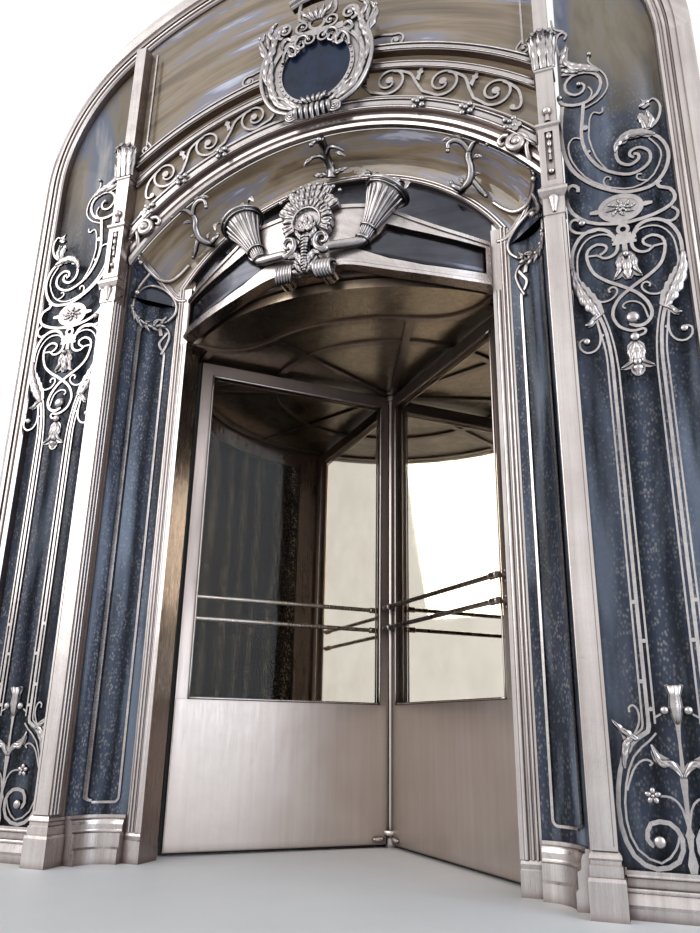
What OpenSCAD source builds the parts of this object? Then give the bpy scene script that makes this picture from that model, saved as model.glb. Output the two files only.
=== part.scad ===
// Bronze and glass revolving door with its entrance bay.
// The origin is on the turning axis at floor level. The street front faces -Y.

/* [Rotor] */
// Radius from the turning axis to the lip of a wing's seal
wing_radius = 1054; // [900:1:1200]
// Height of the wings' top edge above the floor
wing_top = 2190; // [2100:1:2300]
// Gap between the floor and the underside of a wing's frame
wing_foot = 14; // [8:1:30]
// Thickness of a wing's frame
wing_t = 40; // [30:1:60]
// Height of the metal kick panel's top edge
kick_top = 610; // [300:5:900]
// Width of the stile at a wing's outer edge
stile_w = 52; // [35:1:90]
// Height of a wing's top rail
top_rail_h = 58; // [35:1:90]
// Thickness of the glass in a wing
wing_glass_t = 10; // [6:1:14]
// Radius of the centre post
post_r = 34; // [26:1:45]
// Number of flutes round the centre post
post_flutes = 8; // [6:1:12]
// How far the end collars stand out from the centre post
collar_out = 8; // [4:1:16]
// Height of the lower push bar's axis
push_bar_z = 965; // [850:5:1050]
// Distance between the two push bars
push_bar_gap = 98; // [60:1:150]
// Radius of a push bar
push_bar_r = 10; // [7:0.5:14]
// Distance from a wing's face to the axis of its push bars
push_bar_out = 42; // [30:1:60]
// Turn of the rotor from an even X at rest
rest_turn = -1.5; // [-5:0.5:5]

/* [Drum] */
// Running gap between a wing's seal and the drum wall
drum_gap = 11; // [6:1:20]
// Thickness of the drum's curved wall
drum_t = 45; // [35:1:60]
// Height of the base of the drum wall
drum_base_h = 160; // [100:5:300]
// Height of the rail at the top of the drum wall
drum_rail_h = 110; // [60:5:200]
// Width of the drum's end stiles, in degrees of its circle
drum_stile_deg = 6; // [4:0.5:9]
// Thickness of the drum's curved glass
drum_glass_t = 10; // [6:1:14]
// Gap between the wings' top edge and the ceiling ribs
ceiling_gap = 13; // [8:1:40]
// Thickness of the ceiling ribs
rib_t = 12; // [8:1:20]
// Thickness of the ceiling board
ceiling_t = 40; // [25:1:60]

/* [Entrance bay] */
// Distance from the front of the plinths back to the turning axis
bay_depth = 1183; // [1170:1:1200]
// Distance from the door's middle to the middle of a pilaster
pilaster_x = 996; // [990:1:1002]
// Width of a pilaster's shaft
shaft_w = 72; // [60:1:76]
// Width of a pilaster's plinth block
plinth_w = 104; // [96:1:108]
// Height of a pilaster's plinth block
plinth_h = 109; // [90:1:130]
// Height at which the shaft ends under the bracket block
shaft_top = 2328; // [2300:1:2350]
// Clear width of a side bay beside its pilaster
side_bay_w = 390; // [370:1:410]
// Width of the moulded outer frame
frame_w = 130; // [125:1:150]
// Height at which the outer arch springs
spring_z = 3100; // [3060:5:3140]
// Distance from the door's middle to the centre of the arch's haunches
haunch_x = 560; // [520:5:600]
// Angle from the vertical at which haunch and crown meet
haunch_deg = 35; // [32:1:40]
// Thickness of the fixed glass
pane_t = 8; // [6:1:12]

/* [Arch band] */
// Height at which the arch band's lower edge meets the pilasters
band_spring = 2661; // [2600:1:2720]
// Radius of the arch band's lower edge
band_r = 1263; // [1255:1:1270]
// Depth of the arch band between its edges
band_w = 342; // [335:1:350]
// Thickness of the scrolls' flat bars, front to back
scroll_t = 12; // [8:1:18]
// Width of the scrolls' main bars
scroll_w = 13; // [10:1:16]
// Width of the scrolls' thin bars
thread_w = 6; // [4:0.5:8]
// Height at which the side scrolls' main bars cross
crossing_z = 1989; // [1950:1:2030]

/* [Doorway] */
// How far a jamb's outer face stands outside the end of the drum wall
jamb_lap = 3.1; // [1:0.1:12]
// Depth of a jamb from its front back to the end of the drum wall
jamb_depth = 141; // [100:1:180]
// Width of a jamb
jamb_w = 72; // [60:1:90]
// Height of the transom glass at its middle, between the inner arch and the round arch
transom_h = 103; // [80:1:130]
// How far the door head bows forward between the jambs
head_bow = 230; // [200:5:240]
// Thickness of the door head's curved board
head_t = 30; // [24:1:36]
// Height of the door head's lower edge at the jambs
head_low = 2205; // [2200:1:2215]
// Height of the door head's board at the jambs
head_h = 208; // [180:1:240]

/* [Hidden] */
$fn = 48;

bronze = "rosybrown";
dark_bronze = "saddlebrown";
glass_tint = "lightsteelblue";

// Planes of the bay, measured along Y from the turning axis
front_y = -bay_depth;
shaft_y = front_y + 10;
glass_y = front_y + 105;
scroll_y = front_y + 54;
band_y = front_y + 40;

// Gap at a seat, and the running fit of a shaft in its bore
seat = 0.3;
running_fit = 0.05;

// Rotor
seal_w = 14;
seal_t = 8;
frame_r = wing_radius - seal_w;
post_foot = 12;
collar_r = post_r + collar_out;
collar_h = 26;
post_top = wing_top + 10;
spindle_r = 20;
pivot_r = 12;
inner_stile_w = 40;
wing_start = post_r + seat;

// Drum
drum_r = wing_radius + drum_gap;
drum_out = drum_r + drum_t;
rib_z = wing_top + ceiling_gap;
ceiling_z = rib_z + rib_t;
drum_half = 45;
cos45 = cos(45);

// Bay
shaft_in = pilaster_x - shaft_w / 2;
shaft_out = pilaster_x + shaft_w / 2;
frame_in = shaft_out + side_bay_w;
frame_out = frame_in + frame_w;
haunch_r = frame_in - haunch_x;
crown_z = spring_z - haunch_x / tan(haunch_deg);
crown_r = haunch_r + haunch_x / sin(haunch_deg);
block_top = shaft_top + 417;
capital_low = 3000;
capital_top = 3200;
base_h = 128;
jamb_x = drum_out * cos45 + jamb_lap;
jamb_in = jamb_x - jamb_w;
jamb_y = -drum_out * cos45 - jamb_depth;
jamb_front_d = 0.3 * jamb_depth;
return_x = shaft_in - 6 - seat;
return_top = band_spring - 1;
plinth_d = 101.4;
cove_r = return_x - pane_t - jamb_x - 2 * seat;
cove_y = front_y + plinth_d + 2 * seat;
cove_c = [jamb_x + seat, cove_y];
// The cove is round where its depth equals its width, and is stretched along Y elsewhere
cove_k = round(200 * (jamb_y + 2 - cove_y) / cove_r) / 200;
cove_top = 2400;
cove_base_h = 170;

// Arch band
band_cz = band_spring - sqrt(band_r * band_r - shaft_in * shaft_in);
band_top_r = band_r + band_w;
band_mid_r = band_r + 155;
round_r = band_r - 70;

// Half width and half height of the shield, and the height of its middle
shield_w = 168;
shield_h = 185;
shield_z = band_cz + band_top_r - 90;

// Distances of the two kinds of coil's eyes from the arch band's top edge
coil_rest = 31.85;
hook_rest = 30.5;

// The side scrolls are drawn 200 wide to each side of the bay's middle line
panel_x = (shaft_out + frame_in) / 2;
panel_k = (side_bay_w / 2 - seat) / 200;
panel_s = side_bay_w / 390;

// Door head
head_half = jamb_in - seat;
head_c = (head_half * head_half + head_bow * head_bow) / (2 * head_bow);
head_y = jamb_y + 3 - head_bow;
head_cy = head_y + head_c;
inner_arch_r = 920;
inner_arch_w = 28;
inner_arch_cz = band_cz + round_r - transom_h - inner_arch_r;
inner_arch_end = acos(jamb_x / inner_arch_r);
jamb_top = inner_arch_cz + inner_arch_r * sin(inner_arch_end) - 2 * seat;
head_out = 16;
bead_out = 22;

// Points on an arc round c, with angles measured from the +X direction
function arc(c, r, a0, a1, n) =
  [for (i = [0:n]) let (a = a0 + (a1 - a0) * i / n) [c[0] + r * cos(a), c[1] + r * sin(a)]];

// One point of the smooth curve that runs from b to c, with a before and d after
function blend_point(a, b, c, d, t) =
  0.5 * (2 * b + (c - a) * t + (2 * a - 5 * b + 4 * c - d) * t * t
  + (3 * b - a - 3 * c + d) * t * t * t);

// A smooth curve through the points p, with n steps between neighbours
function smooth(p, n = 5) = let (m = len(p) - 1) concat(
  [for (i = [0:m - 1], k = [0:n - 1])
    blend_point(p[max(i - 1, 0)], p[i], p[i + 1], p[min(i + 2, m)], k / n)],
  [p[m]]);

// The unit vector across a path at its point i
function across(p, i) = let (
  m = len(p) - 1,
  d = p[min(i + 1, m)] - p[max(i - 1, 0)])
  [-d[1], d[0]] / norm(d);

// The outline of a flat bar of width w that follows a path and thins to w1 at its end
function bar_outline(p, w, w1) = let (m = len(p) - 1) concat(
  [for (i = [0:m]) p[i] + across(p, i) * (w + (w1 - w) * i / m) / 2],
  [for (i = [m:-1:0]) p[i] - across(p, i) * (w + (w1 - w) * i / m) / 2]);

// Stands a drawing of the front upright, its forward side at y and t thick
module upright(y, t) {
  translate([0, y + t, 0]) rotate([90, 0, 0]) linear_extrude(t) children();
}

// Sweeps a moulding round a centre in the plane of the front.
// The moulding is drawn with x as radius and y towards the street.
module swept(c, y, from, to) {
  translate([c[0], y, c[1]]) rotate([90, 0, 0])
    rotate_extrude(angle = to - from, start = from, $fn = 180) children();
}

// Cuts its children off at the distance x to each side of the door's middle
module within(x) {
  intersection() {
    children();
    translate([-x, 2 * front_y, 0]) cube([2 * x, -3 * front_y, 2 * spring_z]);
  }
}

// Copies its children on the other side of the door's middle
module both_sides() {
  children();
  mirror([1, 0, 0]) children();
}

// One ring segment of the drum between two angles
module drum_segment(r0, r1, z0, z1, from, to) {
  rotate_extrude(angle = to - from, start = from, $fn = 180)
    translate([r0, z0]) square([r1 - r0, z1 - z0]);
}

// The floor bearing that carries the centre post
module floor_pivot() {
  color(bronze) {
    cylinder(r = collar_r, h = post_foot - 0.3);
    cylinder(r = pivot_r, h = post_foot + 30);
  }
}

// The centre post with its flutes, end collars, top spindle and floor socket
module centre_post() {
  color(bronze) difference() {
    union() {
      translate([0, 0, post_foot]) cylinder(r = post_r, h = post_top - post_foot);
      translate([0, 0, post_foot]) cylinder(r = collar_r, h = collar_h);
      translate([0, 0, post_top - collar_h]) cylinder(r = collar_r, h = collar_h);
      translate([0, 0, post_top - 1]) cylinder(r = spindle_r, h = ceiling_z + 31 - post_top);
    }
    translate([0, 0, -1]) cylinder(r = pivot_r + running_fit, h = post_foot + 32);
    for (i = [0:post_flutes - 1]) rotate([0, 0, (i + 0.5) * 360 / post_flutes + rest_turn])
      translate([post_r + 2, 0, post_foot + collar_h + 20])
        cylinder(r = 8, h = post_top - post_foot - 2 * collar_h - 40, $fn = 24);
  }
}

// Turns its children from the +X direction to the place of wing i
module at_wing(i) {
  rotate([0, 0, 45 + 90 * (i - 1) + rest_turn]) children();
}

// The metal frame of one wing, with its kick panel
module wing_frame(i) {
  window_z = kick_top;
  window_h = wing_top - top_rail_h - kick_top;
  color(bronze) at_wing(i) difference() {
    union() {
      translate([wing_start, -wing_t / 2, wing_foot])
        cube([frame_r - wing_start, wing_t, wing_top - wing_foot]);
      translate([collar_r + 2, -wing_t / 2 - 2, wing_foot + 4])
        cube([frame_r - collar_r - 6, wing_t + 4, kick_top - wing_foot - 4]);
    }
    translate([wing_start + inner_stile_w, -wing_t / 2 - 5, window_z])
      cube([frame_r - wing_start - inner_stile_w - stile_w, wing_t + 10, window_h]);
    translate([wing_start - 1, -wing_t / 2 - 5, wing_foot - 1])
      cube([collar_r + 2 - wing_start, wing_t + 10, post_foot + collar_h + 2 - wing_foot]);
    translate([wing_start - 1, -wing_t / 2 - 5, post_top - collar_h - 1])
      cube([collar_r + 2 - wing_start, wing_t + 10, collar_h + 2]);
  }
}

// The pane in one wing, which meets its frame face to face
module wing_glass(i) {
  color(glass_tint) at_wing(i)
    translate([wing_start + inner_stile_w, -wing_glass_t / 2, kick_top])
      cube([frame_r - wing_start - inner_stile_w - stile_w, wing_glass_t,
        wing_top - top_rail_h - kick_top]);
}

// The two push bars of one wing on their end brackets
module push_bars(i) {
  bar_y = -wing_t / 2 - push_bar_out;
  bar_from = wing_start + inner_stile_w / 2;
  bar_to = frame_r - stile_w / 2;
  color(bronze) at_wing(i) for (k = [0:1]) translate([0, 0, push_bar_z + k * push_bar_gap]) {
    translate([bar_from - 12, bar_y, 0]) rotate([0, 90, 0])
      cylinder(r = push_bar_r, h = bar_to - bar_from + 24);
    for (x = [bar_from, bar_to]) translate([x, -wing_t / 2, 0]) rotate([90, 0, 0])
      cylinder(r = push_bar_r - 2, h = push_bar_out);
    for (x = [bar_from - 14, bar_to - 16]) translate([x, bar_y, 0]) rotate([0, 90, 0])
      cylinder(r = push_bar_r + 3, h = 30);
  }
}

// The rubber strips at the outer edge and the foot of every wing
module wing_seals() {
  color("dimgray") for (i = [1:4]) at_wing(i) {
    translate([frame_r, -seal_t / 2, 4]) cube([seal_w, seal_t, wing_top - 4]);
    translate([collar_r + 8, -seal_t / 2, 4]) cube([frame_r - collar_r - 8, seal_t, wing_foot - 4]);
  }
}

// The curved wall frame on the right of the drum
module drum_frame() {
  glass_from = drum_half - drum_stile_deg;
  color(dark_bronze) {
    drum_segment(drum_r, drum_out, 0, drum_base_h, -drum_half, drum_half);
    drum_segment(drum_r, drum_out, ceiling_z - drum_rail_h, ceiling_z, -drum_half, drum_half);
    for (a = [-drum_half, glass_from])
      drum_segment(drum_r, drum_out, drum_base_h, ceiling_z - drum_rail_h, a, a + drum_stile_deg);
  }
}

// The curved pane in the drum wall on the right
module drum_glass() {
  glass_from = drum_half - drum_stile_deg;
  mid_r = drum_r + drum_t / 2;
  color(glass_tint)
    drum_segment(mid_r - drum_glass_t / 2, mid_r + drum_glass_t / 2,
      drum_base_h, ceiling_z - drum_rail_h, -glass_from, glass_from);
}

// A point of a moulding of width w around a square block: p is how far out and how high
module mitred(x0, x1, y0, y1, p) {
  m = len(p) - 1;
  low = p[0][1];
  high = p[m][1];
  intersection() {
    translate([0, y1, 0]) rotate([90, 0, 0]) linear_extrude(y1 - y0 + 60) polygon(concat(
      [for (q = p) [x1 + q[0], q[1]]], [for (i = [m:-1:0]) [x0 - p[i][0], p[i][1]]]));
    translate([x0 - 60, 0, 0]) rotate([90, 0, 90]) linear_extrude(x1 - x0 + 120) polygon(concat(
      [[y1, low]], [for (q = p) [y0 - q[0], q[1]]], [[y1, high]]));
  }
}

// Outline of a jamb in plan, from the front back to the end of the drum wall
function jamb_outline() = [
  [jamb_in, jamb_y], [jamb_x, jamb_y], [jamb_x, jamb_y + jamb_front_d],
  [jamb_x + 8, jamb_y + 0.84 * jamb_depth], [drum_out * cos45, -drum_out * cos45],
  [drum_r * cos45, -drum_r * cos45], [jamb_in, jamb_y + 0.84 * jamb_depth]];

// One front jamb on the right with its base block and its reeded trim
module jamb() {
  reed_r = 6;
  color(bronze) {
    linear_extrude(ceiling_z) polygon(jamb_outline());
    translate([jamb_in, jamb_y, 0]) cube([jamb_w, jamb_front_d, jamb_top]);
    for (x = [14, 29]) translate([jamb_x - x, jamb_y, plinth_h])
      cylinder(r = reed_r, h = jamb_top - plinth_h, $fn = 24);
    translate([jamb_x - 50, jamb_y, plinth_h])
      cylinder(r = reed_r + 3, h = head_low - 12 - plinth_h, $fn = 24);
    translate([jamb_in, jamb_y - 5, plinth_h]) cube([14, 12, head_low - 12 - plinth_h]);
    mitred(jamb_in + 3, jamb_x - 3, jamb_y - 4, jamb_y + jamb_front_d, [
      [3, 0], [3, plinth_h - 30], [0, plinth_h - 26], [2, plinth_h - 12], [0, plinth_h - 4],
      [-2, plinth_h]]);
  }
}

// The two plain jambs of the rear doorway and the curved rail over it
module rear_frame() {
  color(dark_bronze) {
    both_sides() linear_extrude(ceiling_z) polygon([
      [drum_r * cos45, drum_r * cos45], [drum_out * cos45, drum_out * cos45],
      [drum_out * cos45, drum_out * cos45 + 90], [drum_r * cos45 - 40, drum_out * cos45 + 90],
      [drum_r * cos45 - 40, drum_r * cos45 + 46]]);
    drum_segment(drum_r, drum_out, rib_z, ceiling_z, drum_half, 180 - drum_half);
  }
}

// The space in front of the door head's back, from floor to top
module before_head(gap) {
  difference() {
    translate([-frame_out, 3 * front_y, 0]) cube([2 * frame_out, -3 * front_y + head_cy, 2 * spring_z]);
    translate([0, head_cy, -1]) cylinder(r = head_c - head_t - gap, h = 2 * spring_z + 2, $fn = 180);
  }
}

// The round board over the rotor, with the bore for the post's spindle
module drum_ceiling() {
  color(dark_bronze) difference() {
    translate([0, 0, ceiling_z]) cylinder(r = drum_out, h = ceiling_t, $fn = 180);
    translate([0, 0, ceiling_z - 1]) cylinder(r = spindle_r + running_fit, h = ceiling_t + 2);
    if (head_cy - head_c + head_t > -drum_out - 2 * seat) before_head(seat);
  }
}

// Plan of the serpentine cornice's inner edge, as shares of the doorway's half width
function cornice_line(d) = smooth([for (p = [[-1, -0.925], [-0.84, -0.815], [-0.63, -0.79],
  [-0.28, -0.88], [0, -0.905], [0.28, -0.88], [0.63, -0.79], [0.84, -0.815], [1, -0.925]])
  [p[0] * head_half, p[1] * (jamb_depth + drum_out * cos45) + d]], 4);

// The doorway's soffit, from the serpentine line forward to the door head's back
module soffit(z, h) {
  back_r = head_c - head_t - seat;
  end_a = acos(head_half / back_r);
  translate([0, 0, z]) linear_extrude(h) polygon(concat(
    cornice_line(0), arc([0, head_cy], back_r, -end_a, end_a - 180, 36)));
}

// A band of the width w along the serpentine line, on its street side
module cornice_band(z, h, w) {
  line = cornice_line(0);
  translate([0, 0, z]) linear_extrude(h) polygon(concat(line,
    [for (i = [len(line) - 1:-1:0]) line[i] - [0, w]]));
}

// The ribs under the ceiling, with the ring they cross and the hub round the post
module ceiling_ribs() {
  rib_w = 34;
  ring_r = 640;
  color(dark_bronze) difference() {
    translate([0, 0, rib_z]) {
      for (i = [0:7]) rotate([0, 0, 22.5 + 45 * i]) translate([60, -rib_w / 2, 0])
        cube([drum_r - 66, rib_w, rib_t - seat]);
      cylinder(r = 70, h = rib_t - seat);
      for (r = [ring_r, drum_r - 30]) difference() {
        cylinder(r = r + rib_w / 2, h = rib_t - seat, $fn = 180);
        translate([0, 0, -1]) cylinder(r = r - rib_w / 2, h = rib_t + 2, $fn = 180);
      }
    }
    translate([0, 0, rib_z - 1]) cylinder(r = collar_r + 8, h = rib_t + 2);
    translate([0, 0, rib_z - 1]) linear_extrude(rib_t + 2) polygon(concat(
      cornice_line(seat), [[frame_out, -drum_out * cos45], [frame_out, 3 * front_y],
      [-frame_out, 3 * front_y], [-frame_out, -drum_out * cos45]]));
  }
}

// The serpentine cornice under the ceiling's front and the stepped soffit before it
module head_cornice() {
  soffit_z = ceiling_z + ceiling_t + seat;
  color(dark_bronze) {
    cornice_band(rib_z, rib_t - seat, 34);
    cornice_band(soffit_z, 7, 36);
    soffit(soffit_z + 7, 13);
  }
}

// A point on the door head's edge lines: k across from the middle, f up from its foot
function head_point(p) = [p[0] * head_half, head_low + p[1] * head_h];

// Its top edge and its lower edge, from the middle to the right jamb
function head_top() = smooth([for (p = [[0, 1.85], [0.2, 1.82], [0.377, 1.755], [0.46, 1.65],
  [0.6, 1.42], [0.745, 1.23], [0.87, 1.11], [1, 1]]) head_point(p)], 3);
function head_foot() = smooth([for (p = [[0, 0.25], [0.08, 0.25], [0.13, 0.33], [0.19, 0.39],
  [0.28, 0.355], [0.42, 0.24], [0.56, 0.145], [0.8, 0.04], [1, 0]]) head_point(p)], 3);

// A band on both halves of the head between a line and its copy, moved up by d0 and d1
module head_band(line, d0, d1) {
  both = concat([for (i = [len(line) - 1:-1:1]) [-line[i][0], line[i][1]]], line);
  polygon(concat([for (p = both) p + [0, d0]],
    [for (i = [len(both) - 1:-1:0]) both[i] + [0, d1]]));
}

// The sunk panel on the right half of the head
function head_panel() = [for (p = [[0.286, 0.76], [0.36, 0.91], [0.415, 1.08], [0.451, 1.3],
  [0.58, 1.15], [0.745, 1.02], [0.975, 0.87], [0.975, 0.28], [0.82, 0.3], [0.653, 0.35],
  [0.466, 0.5]]) head_point(p)];

// A drawing of the head, bent to its bow and standing out by the given depth
module bowed(out) {
  intersection() {
    translate([0, head_cy, head_low - head_h]) difference() {
      cylinder(r = head_c + out, h = 4 * head_h, $fn = 180);
      translate([0, 0, -1]) cylinder(r = head_c - head_t, h = 4 * head_h + 2, $fn = 180);
    }
    upright(head_y - 60, jamb_y + 28 - seat - head_y + 60) children();
  }
}

// The bowed board of the door head with its edge mouldings, sunk panels and scroll ends
module door_head() {
  full = concat(
    [for (i = [len(head_top()) - 1:-1:1]) [-head_top()[i][0], head_top()[i][1]]], head_top(),
    [for (i = [len(head_foot()) - 1:-1:0]) head_foot()[i]],
    [for (i = [1:len(head_foot()) - 1]) [-head_foot()[i][0], head_foot()[i][1]]]);
  roll_x = 0.13 * head_half;
  roll_z = head_low + 0.27 * head_h;
  color(bronze) difference() {
    union() {
      bowed(0) polygon(full);
      bowed(head_out) difference() {
        polygon(full);
        polygon(head_panel());
        mirror([1, 0]) polygon(head_panel());
      }
      bowed(bead_out) head_band(head_top(), -16, 0);
      bowed(bead_out + 10) head_band(head_foot(), 0, 14);
      bowed(bead_out + 2) head_band(head_foot(), 20, 32);
      both_sides() translate([roll_x, head_y + 10, roll_z]) rotate([90, 0, 0]) {
        cylinder(r = 37, h = 52);
        cylinder(r = 24, h = 58);
        cylinder(r = 9, h = 64);
      }
    }
    translate([0, head_cy, head_low - head_h])
      cylinder(r = head_c - head_t, h = 4 * head_h, $fn = 180);
  }
}

// The flat board between the inner arch and the ceiling, behind the door head
module head_board() {
  r = inner_arch_r - inner_arch_w - seat;
  low_z = ceiling_z + ceiling_t + 3 * seat + 20;
  half = head_half;
  color(dark_bronze) upright(jamb_y + 28, 12) polygon(concat(
    [[half, low_z]],
    arc([0, inner_arch_cz], r, acos(half / r), 180 - acos(half / r), 30),
    [[-half, low_z]]));
}

// One horn of plenty on the right: a bent cone with a rolled rim and fruit in its mouth
module horn() {
  tall = 1.16 * head_h;
  mouth_r = 0.4 * head_h;
  tip_r = 0.11 * head_h;
  translate([0.17 * head_half, 0, head_low + 0.9 * head_h]) rotate([0, 26, 0]) {
    rotate_extrude() polygon([[0, -16], [0.5 * tip_r, -14], [0.9 * tip_r, -6], [tip_r, 4],
      [1.3 * tip_r, 0.3 * tall], [0.62 * mouth_r, 0.6 * tall], [mouth_r - 4, tall - 8],
      [mouth_r + 8, tall - 4], [mouth_r + 12, tall + 4], [mouth_r + 6, tall + 12],
      [mouth_r - 12, tall + 16], [0, tall + 20]]);
    for (i = [-1:1]) translate([i * 44, -20 + abs(i) * 7, tall + 18]) sphere(r = 21);
  }
}

// A fan of n ribs from r0 to r1, drawn flat: fill is the share of its step that a rib takes
module fan(r0, r1, half_a, n, fill) {
  a = half_a / (n - 1);
  w = fill * sin(a);
  for (i = [0:n - 1]) rotate(half_a - 2 * a * i)
    polygon([[-w * r0, r0], [-w * r1, r1 - 14], [-0.72 * w * r1, r1 - 4], [0, r1],
      [0.72 * w * r1, r1 - 4], [w * r1, r1 - 14], [w * r0, r0]]);
}

// Stands a drawing on the door head's beads, standing out by t
module relief(t) {
  upright(head_cy - head_c - bead_out - seat - t, t + 12) children();
}

// The shell with its three rows of ribs, the console under it and the scrolls beside that
module shell_and_console(z, r) {
  foot = head_low + 0.25 * head_h + 32 + seat;
  relief(9) translate([0, z]) fan(0.3 * r, 1.86 * r, 26, 5, 1.03);
  relief(15) translate([0, z]) fan(0.4 * r, 1.8 * r, 26, 5, 0.66);
  relief(19) translate([0, z]) fan(0.3 * r, 1.5 * r, 56, 9, 1.03);
  relief(26) translate([0, z]) fan(0.4 * r, 1.44 * r, 56, 9, 0.66);
  relief(29) translate([0, z]) fan(0.3 * r, 1.06 * r, 118, 13, 1.03);
  relief(36) translate([0, z]) fan(0.62 * r, 1.0 * r, 118, 13, 0.66);
  relief(40) translate([0, z]) circle(r = 0.25 * r);
  relief(32) {
    polygon([[-23, foot + 8], [-15, z - 0.3 * r], [-10, z], [10, z], [15, z - 0.3 * r], [23, foot + 8]]);
    for (x = [-1, 1], k = [0, 1]) translate([x * (30 + 8 * k), head_low + (0.6 + 0.36 * k) * head_h])
      circle(r = 23);
  }
  relief(39) for (x = [-1, 1], k = [0, 1])
    translate([x * (30 + 8 * k), head_low + (0.6 + 0.36 * k) * head_h]) circle(r = 11);
  relief(24) for (i = [-2:2]) translate([i * 15 - 5.5, foot + abs(i) * 6]) square([11, 0.24 * head_h]);
}

// The shell over the middle of the door head with the horns of plenty on both sides
module head_ornament() {
  out = head_c + bead_out + seat;
  color(bronze) difference() {
    union() {
      shell_and_console(head_low + 1.44 * head_h, 0.51 * head_h);
      both_sides() translate([0, head_cy, 0]) rotate([0, 0, 5]) translate([0, -out, 0]) horn();
    }
    translate([0, head_cy, 0]) cylinder(r = out, h = 2 * spring_z, $fn = 180);
  }
}

// The arch over the door head, which stands on the jambs
module inner_arch() {
  r0 = inner_arch_r - inner_arch_w;
  foot_z = jamb_top + seat;
  color(bronze) intersection() {
    swept([0, inner_arch_cz], jamb_y + jamb_front_d, inner_arch_end - 4, 184 - inner_arch_end)
      polygon(concat([[r0, 0], [r0, jamb_front_d]],
        arc([r0 + 8, jamb_front_d], 6, 180, 0, 8), arc([r0 + 21, jamb_front_d], 6, 180, 0, 8),
        [[inner_arch_r, jamb_front_d], [inner_arch_r, 0]]));
    translate([-jamb_x, 2 * front_y, foot_z]) cube([2 * jamb_x, -2 * front_y, spring_z]);
  }
}

// A point on an arch of radius r round the height cz that stands on uprights at x.
// Here t runs from the crown at 0 to the springing at 0.8 and down to z at 1.
function arch_point(r, cz, x, z, t) = let (
  end_a = acos(x / r),
  a = 90 - (90 - end_a) * min(t / 0.8, 1),
  drop = max(t - 0.8, 0) / 0.2,
  spring = cz + r * sin(end_a))
  [r * cos(a), cz + r * sin(a) + (z - spring) * drop];

// A point of the curved transom glass: t runs along the arch, f across the cove
function cove_point(t, f, back) = let (
  side = t < 0 ? -1 : 1,
  inner = arch_point(inner_arch_r + 3 * seat, inner_arch_cz, cove_c[0], cove_top + seat, abs(t)),
  outer = arch_point(round_r, band_cz, cove_c[0] + cove_r, cove_top + seat, abs(t)),
  p = inner + (outer - inner) * (1 + back / norm(outer - inner)) * sin(90 * f))
  [side * p[0], cove_c[1] + cove_k * (cove_r + back) * cos(90 * f), p[1]];

// The curved glass of the transom over the door head, with one of its steps at the springing
module transom_glass() {
  n = 30;
  m = 8;
  row = 2 * (m + 1);
  points = [for (i = [-n:n]) each concat(
    [for (k = [0:m]) cove_point(i / n, k / m, 0)],
    [for (k = [m:-1:0]) cove_point(i / n, k / m, pane_t)])];
  faces = concat(
    [[for (k = [0:row - 1]) k]],
    [[for (k = [row - 1:-1:0]) 2 * n * row + k]],
    [for (i = [0:2 * n - 1], k = [0:row - 1])
      [i * row + k, (i + 1) * row + k, (i + 1) * row + (k + 1) % row, i * row + (k + 1) % row]]);
  color(glass_tint) polyhedron(points, faces);
}

// The round moulding under the arch band: a roll, a hollow and a flat fillet
module round_arch() {
  end_a = acos(return_x / round_r) - 4;
  rim = band_r - round_r - seat;
  color(dark_bronze) within(shaft_in - 6 - 2 * seat)
    swept([0, band_cz], cove_y - seat, end_a, 180 - end_a) translate([round_r, 0])
      polygon([[18, 0], [6, 5], [0, 18], [6, 31], [18, 36], [30, 31], [36, 20], [42, 30], [54, 34],
        [rim, 34], [rim, 0]]);
}

// A quarter ring of the cove with the given profile, in plan round the cove's centre
module cove_ring(z, from = 0, to = 90) {
  translate([cove_c[0], cove_c[1], z]) scale([1, cove_k, 1])
    rotate_extrude(angle = to - from, start = from, $fn = 120) children();
}

// The curved base mouldings under the narrow glass coves
module cove_bases() {
  color(bronze) both_sides() cove_ring(0) translate([cove_r - 46, 0])
    polygon(concat([[0, 0], [46 + pane_t, 0], [46 + pane_t, cove_base_h], [34, cove_base_h]],
      arc([34, 148], 10, 90, 180, 4), [[20, 138], [20, 120]], arc([8, 120], 12, 0, -90, 4),
      [[8, 60], [0, 52]]));
}

// The curved glass between pilaster and jamb
module cove_glass() {
  color(glass_tint) both_sides() cove_ring(cove_base_h) translate([cove_r, 0])
    square([pane_t, cove_top - cove_base_h]);
}

// The thin bars that outline the glass in the coves, with their waved heads
module glass_trim() {
  bar = 9;
  low = 214;
  bend = shaft_top - 190;
  left = jamb_x + 0.25 * cove_r;
  right = jamb_x + 0.86 * cove_r;
  color(bronze) both_sides() intersection() {
    cove_ring(cove_base_h + 10) translate([cove_r - 8 - seat, 0])
      square([8, cove_top - cove_base_h - 16]);
    upright(2 * front_y, -2 * front_y) {
      translate([left - bar / 2, low + 20]) square([bar, bend - low - 20]);
      translate([right - 4, low + 20]) square([8, bend + 110 - low - 20]);
      translate([left + 20, low - bar / 2]) square([right - left - 34, bar]);
      polygon(bar_outline(arc([left + 20, low + 20], 20, 180, 270, 6), bar, bar));
      polygon(bar_outline(arc([right - 14, low + 20], 14, 0, -90, 6), bar, bar));
      polygon(bar_outline(smooth([[left, bend], [left + 4, bend + 22], [left + 20, bend + 44],
        [left + 26, bend + 70], [left + 10, bend + 100], [left - 6, bend + 126]]), bar, bar));
      polygon(bar_outline(smooth([[right, bend + 110], [right - 6, bend + 140],
        [right - 34, bend + 160], [right - 62, bend + 150], [left + 22, bend + 108]]), bar, bar + 6));
      translate([left + 34, bend + 172]) difference() {
        circle(r = 24);
        circle(r = 15);
      }
    }
  }
}

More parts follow.
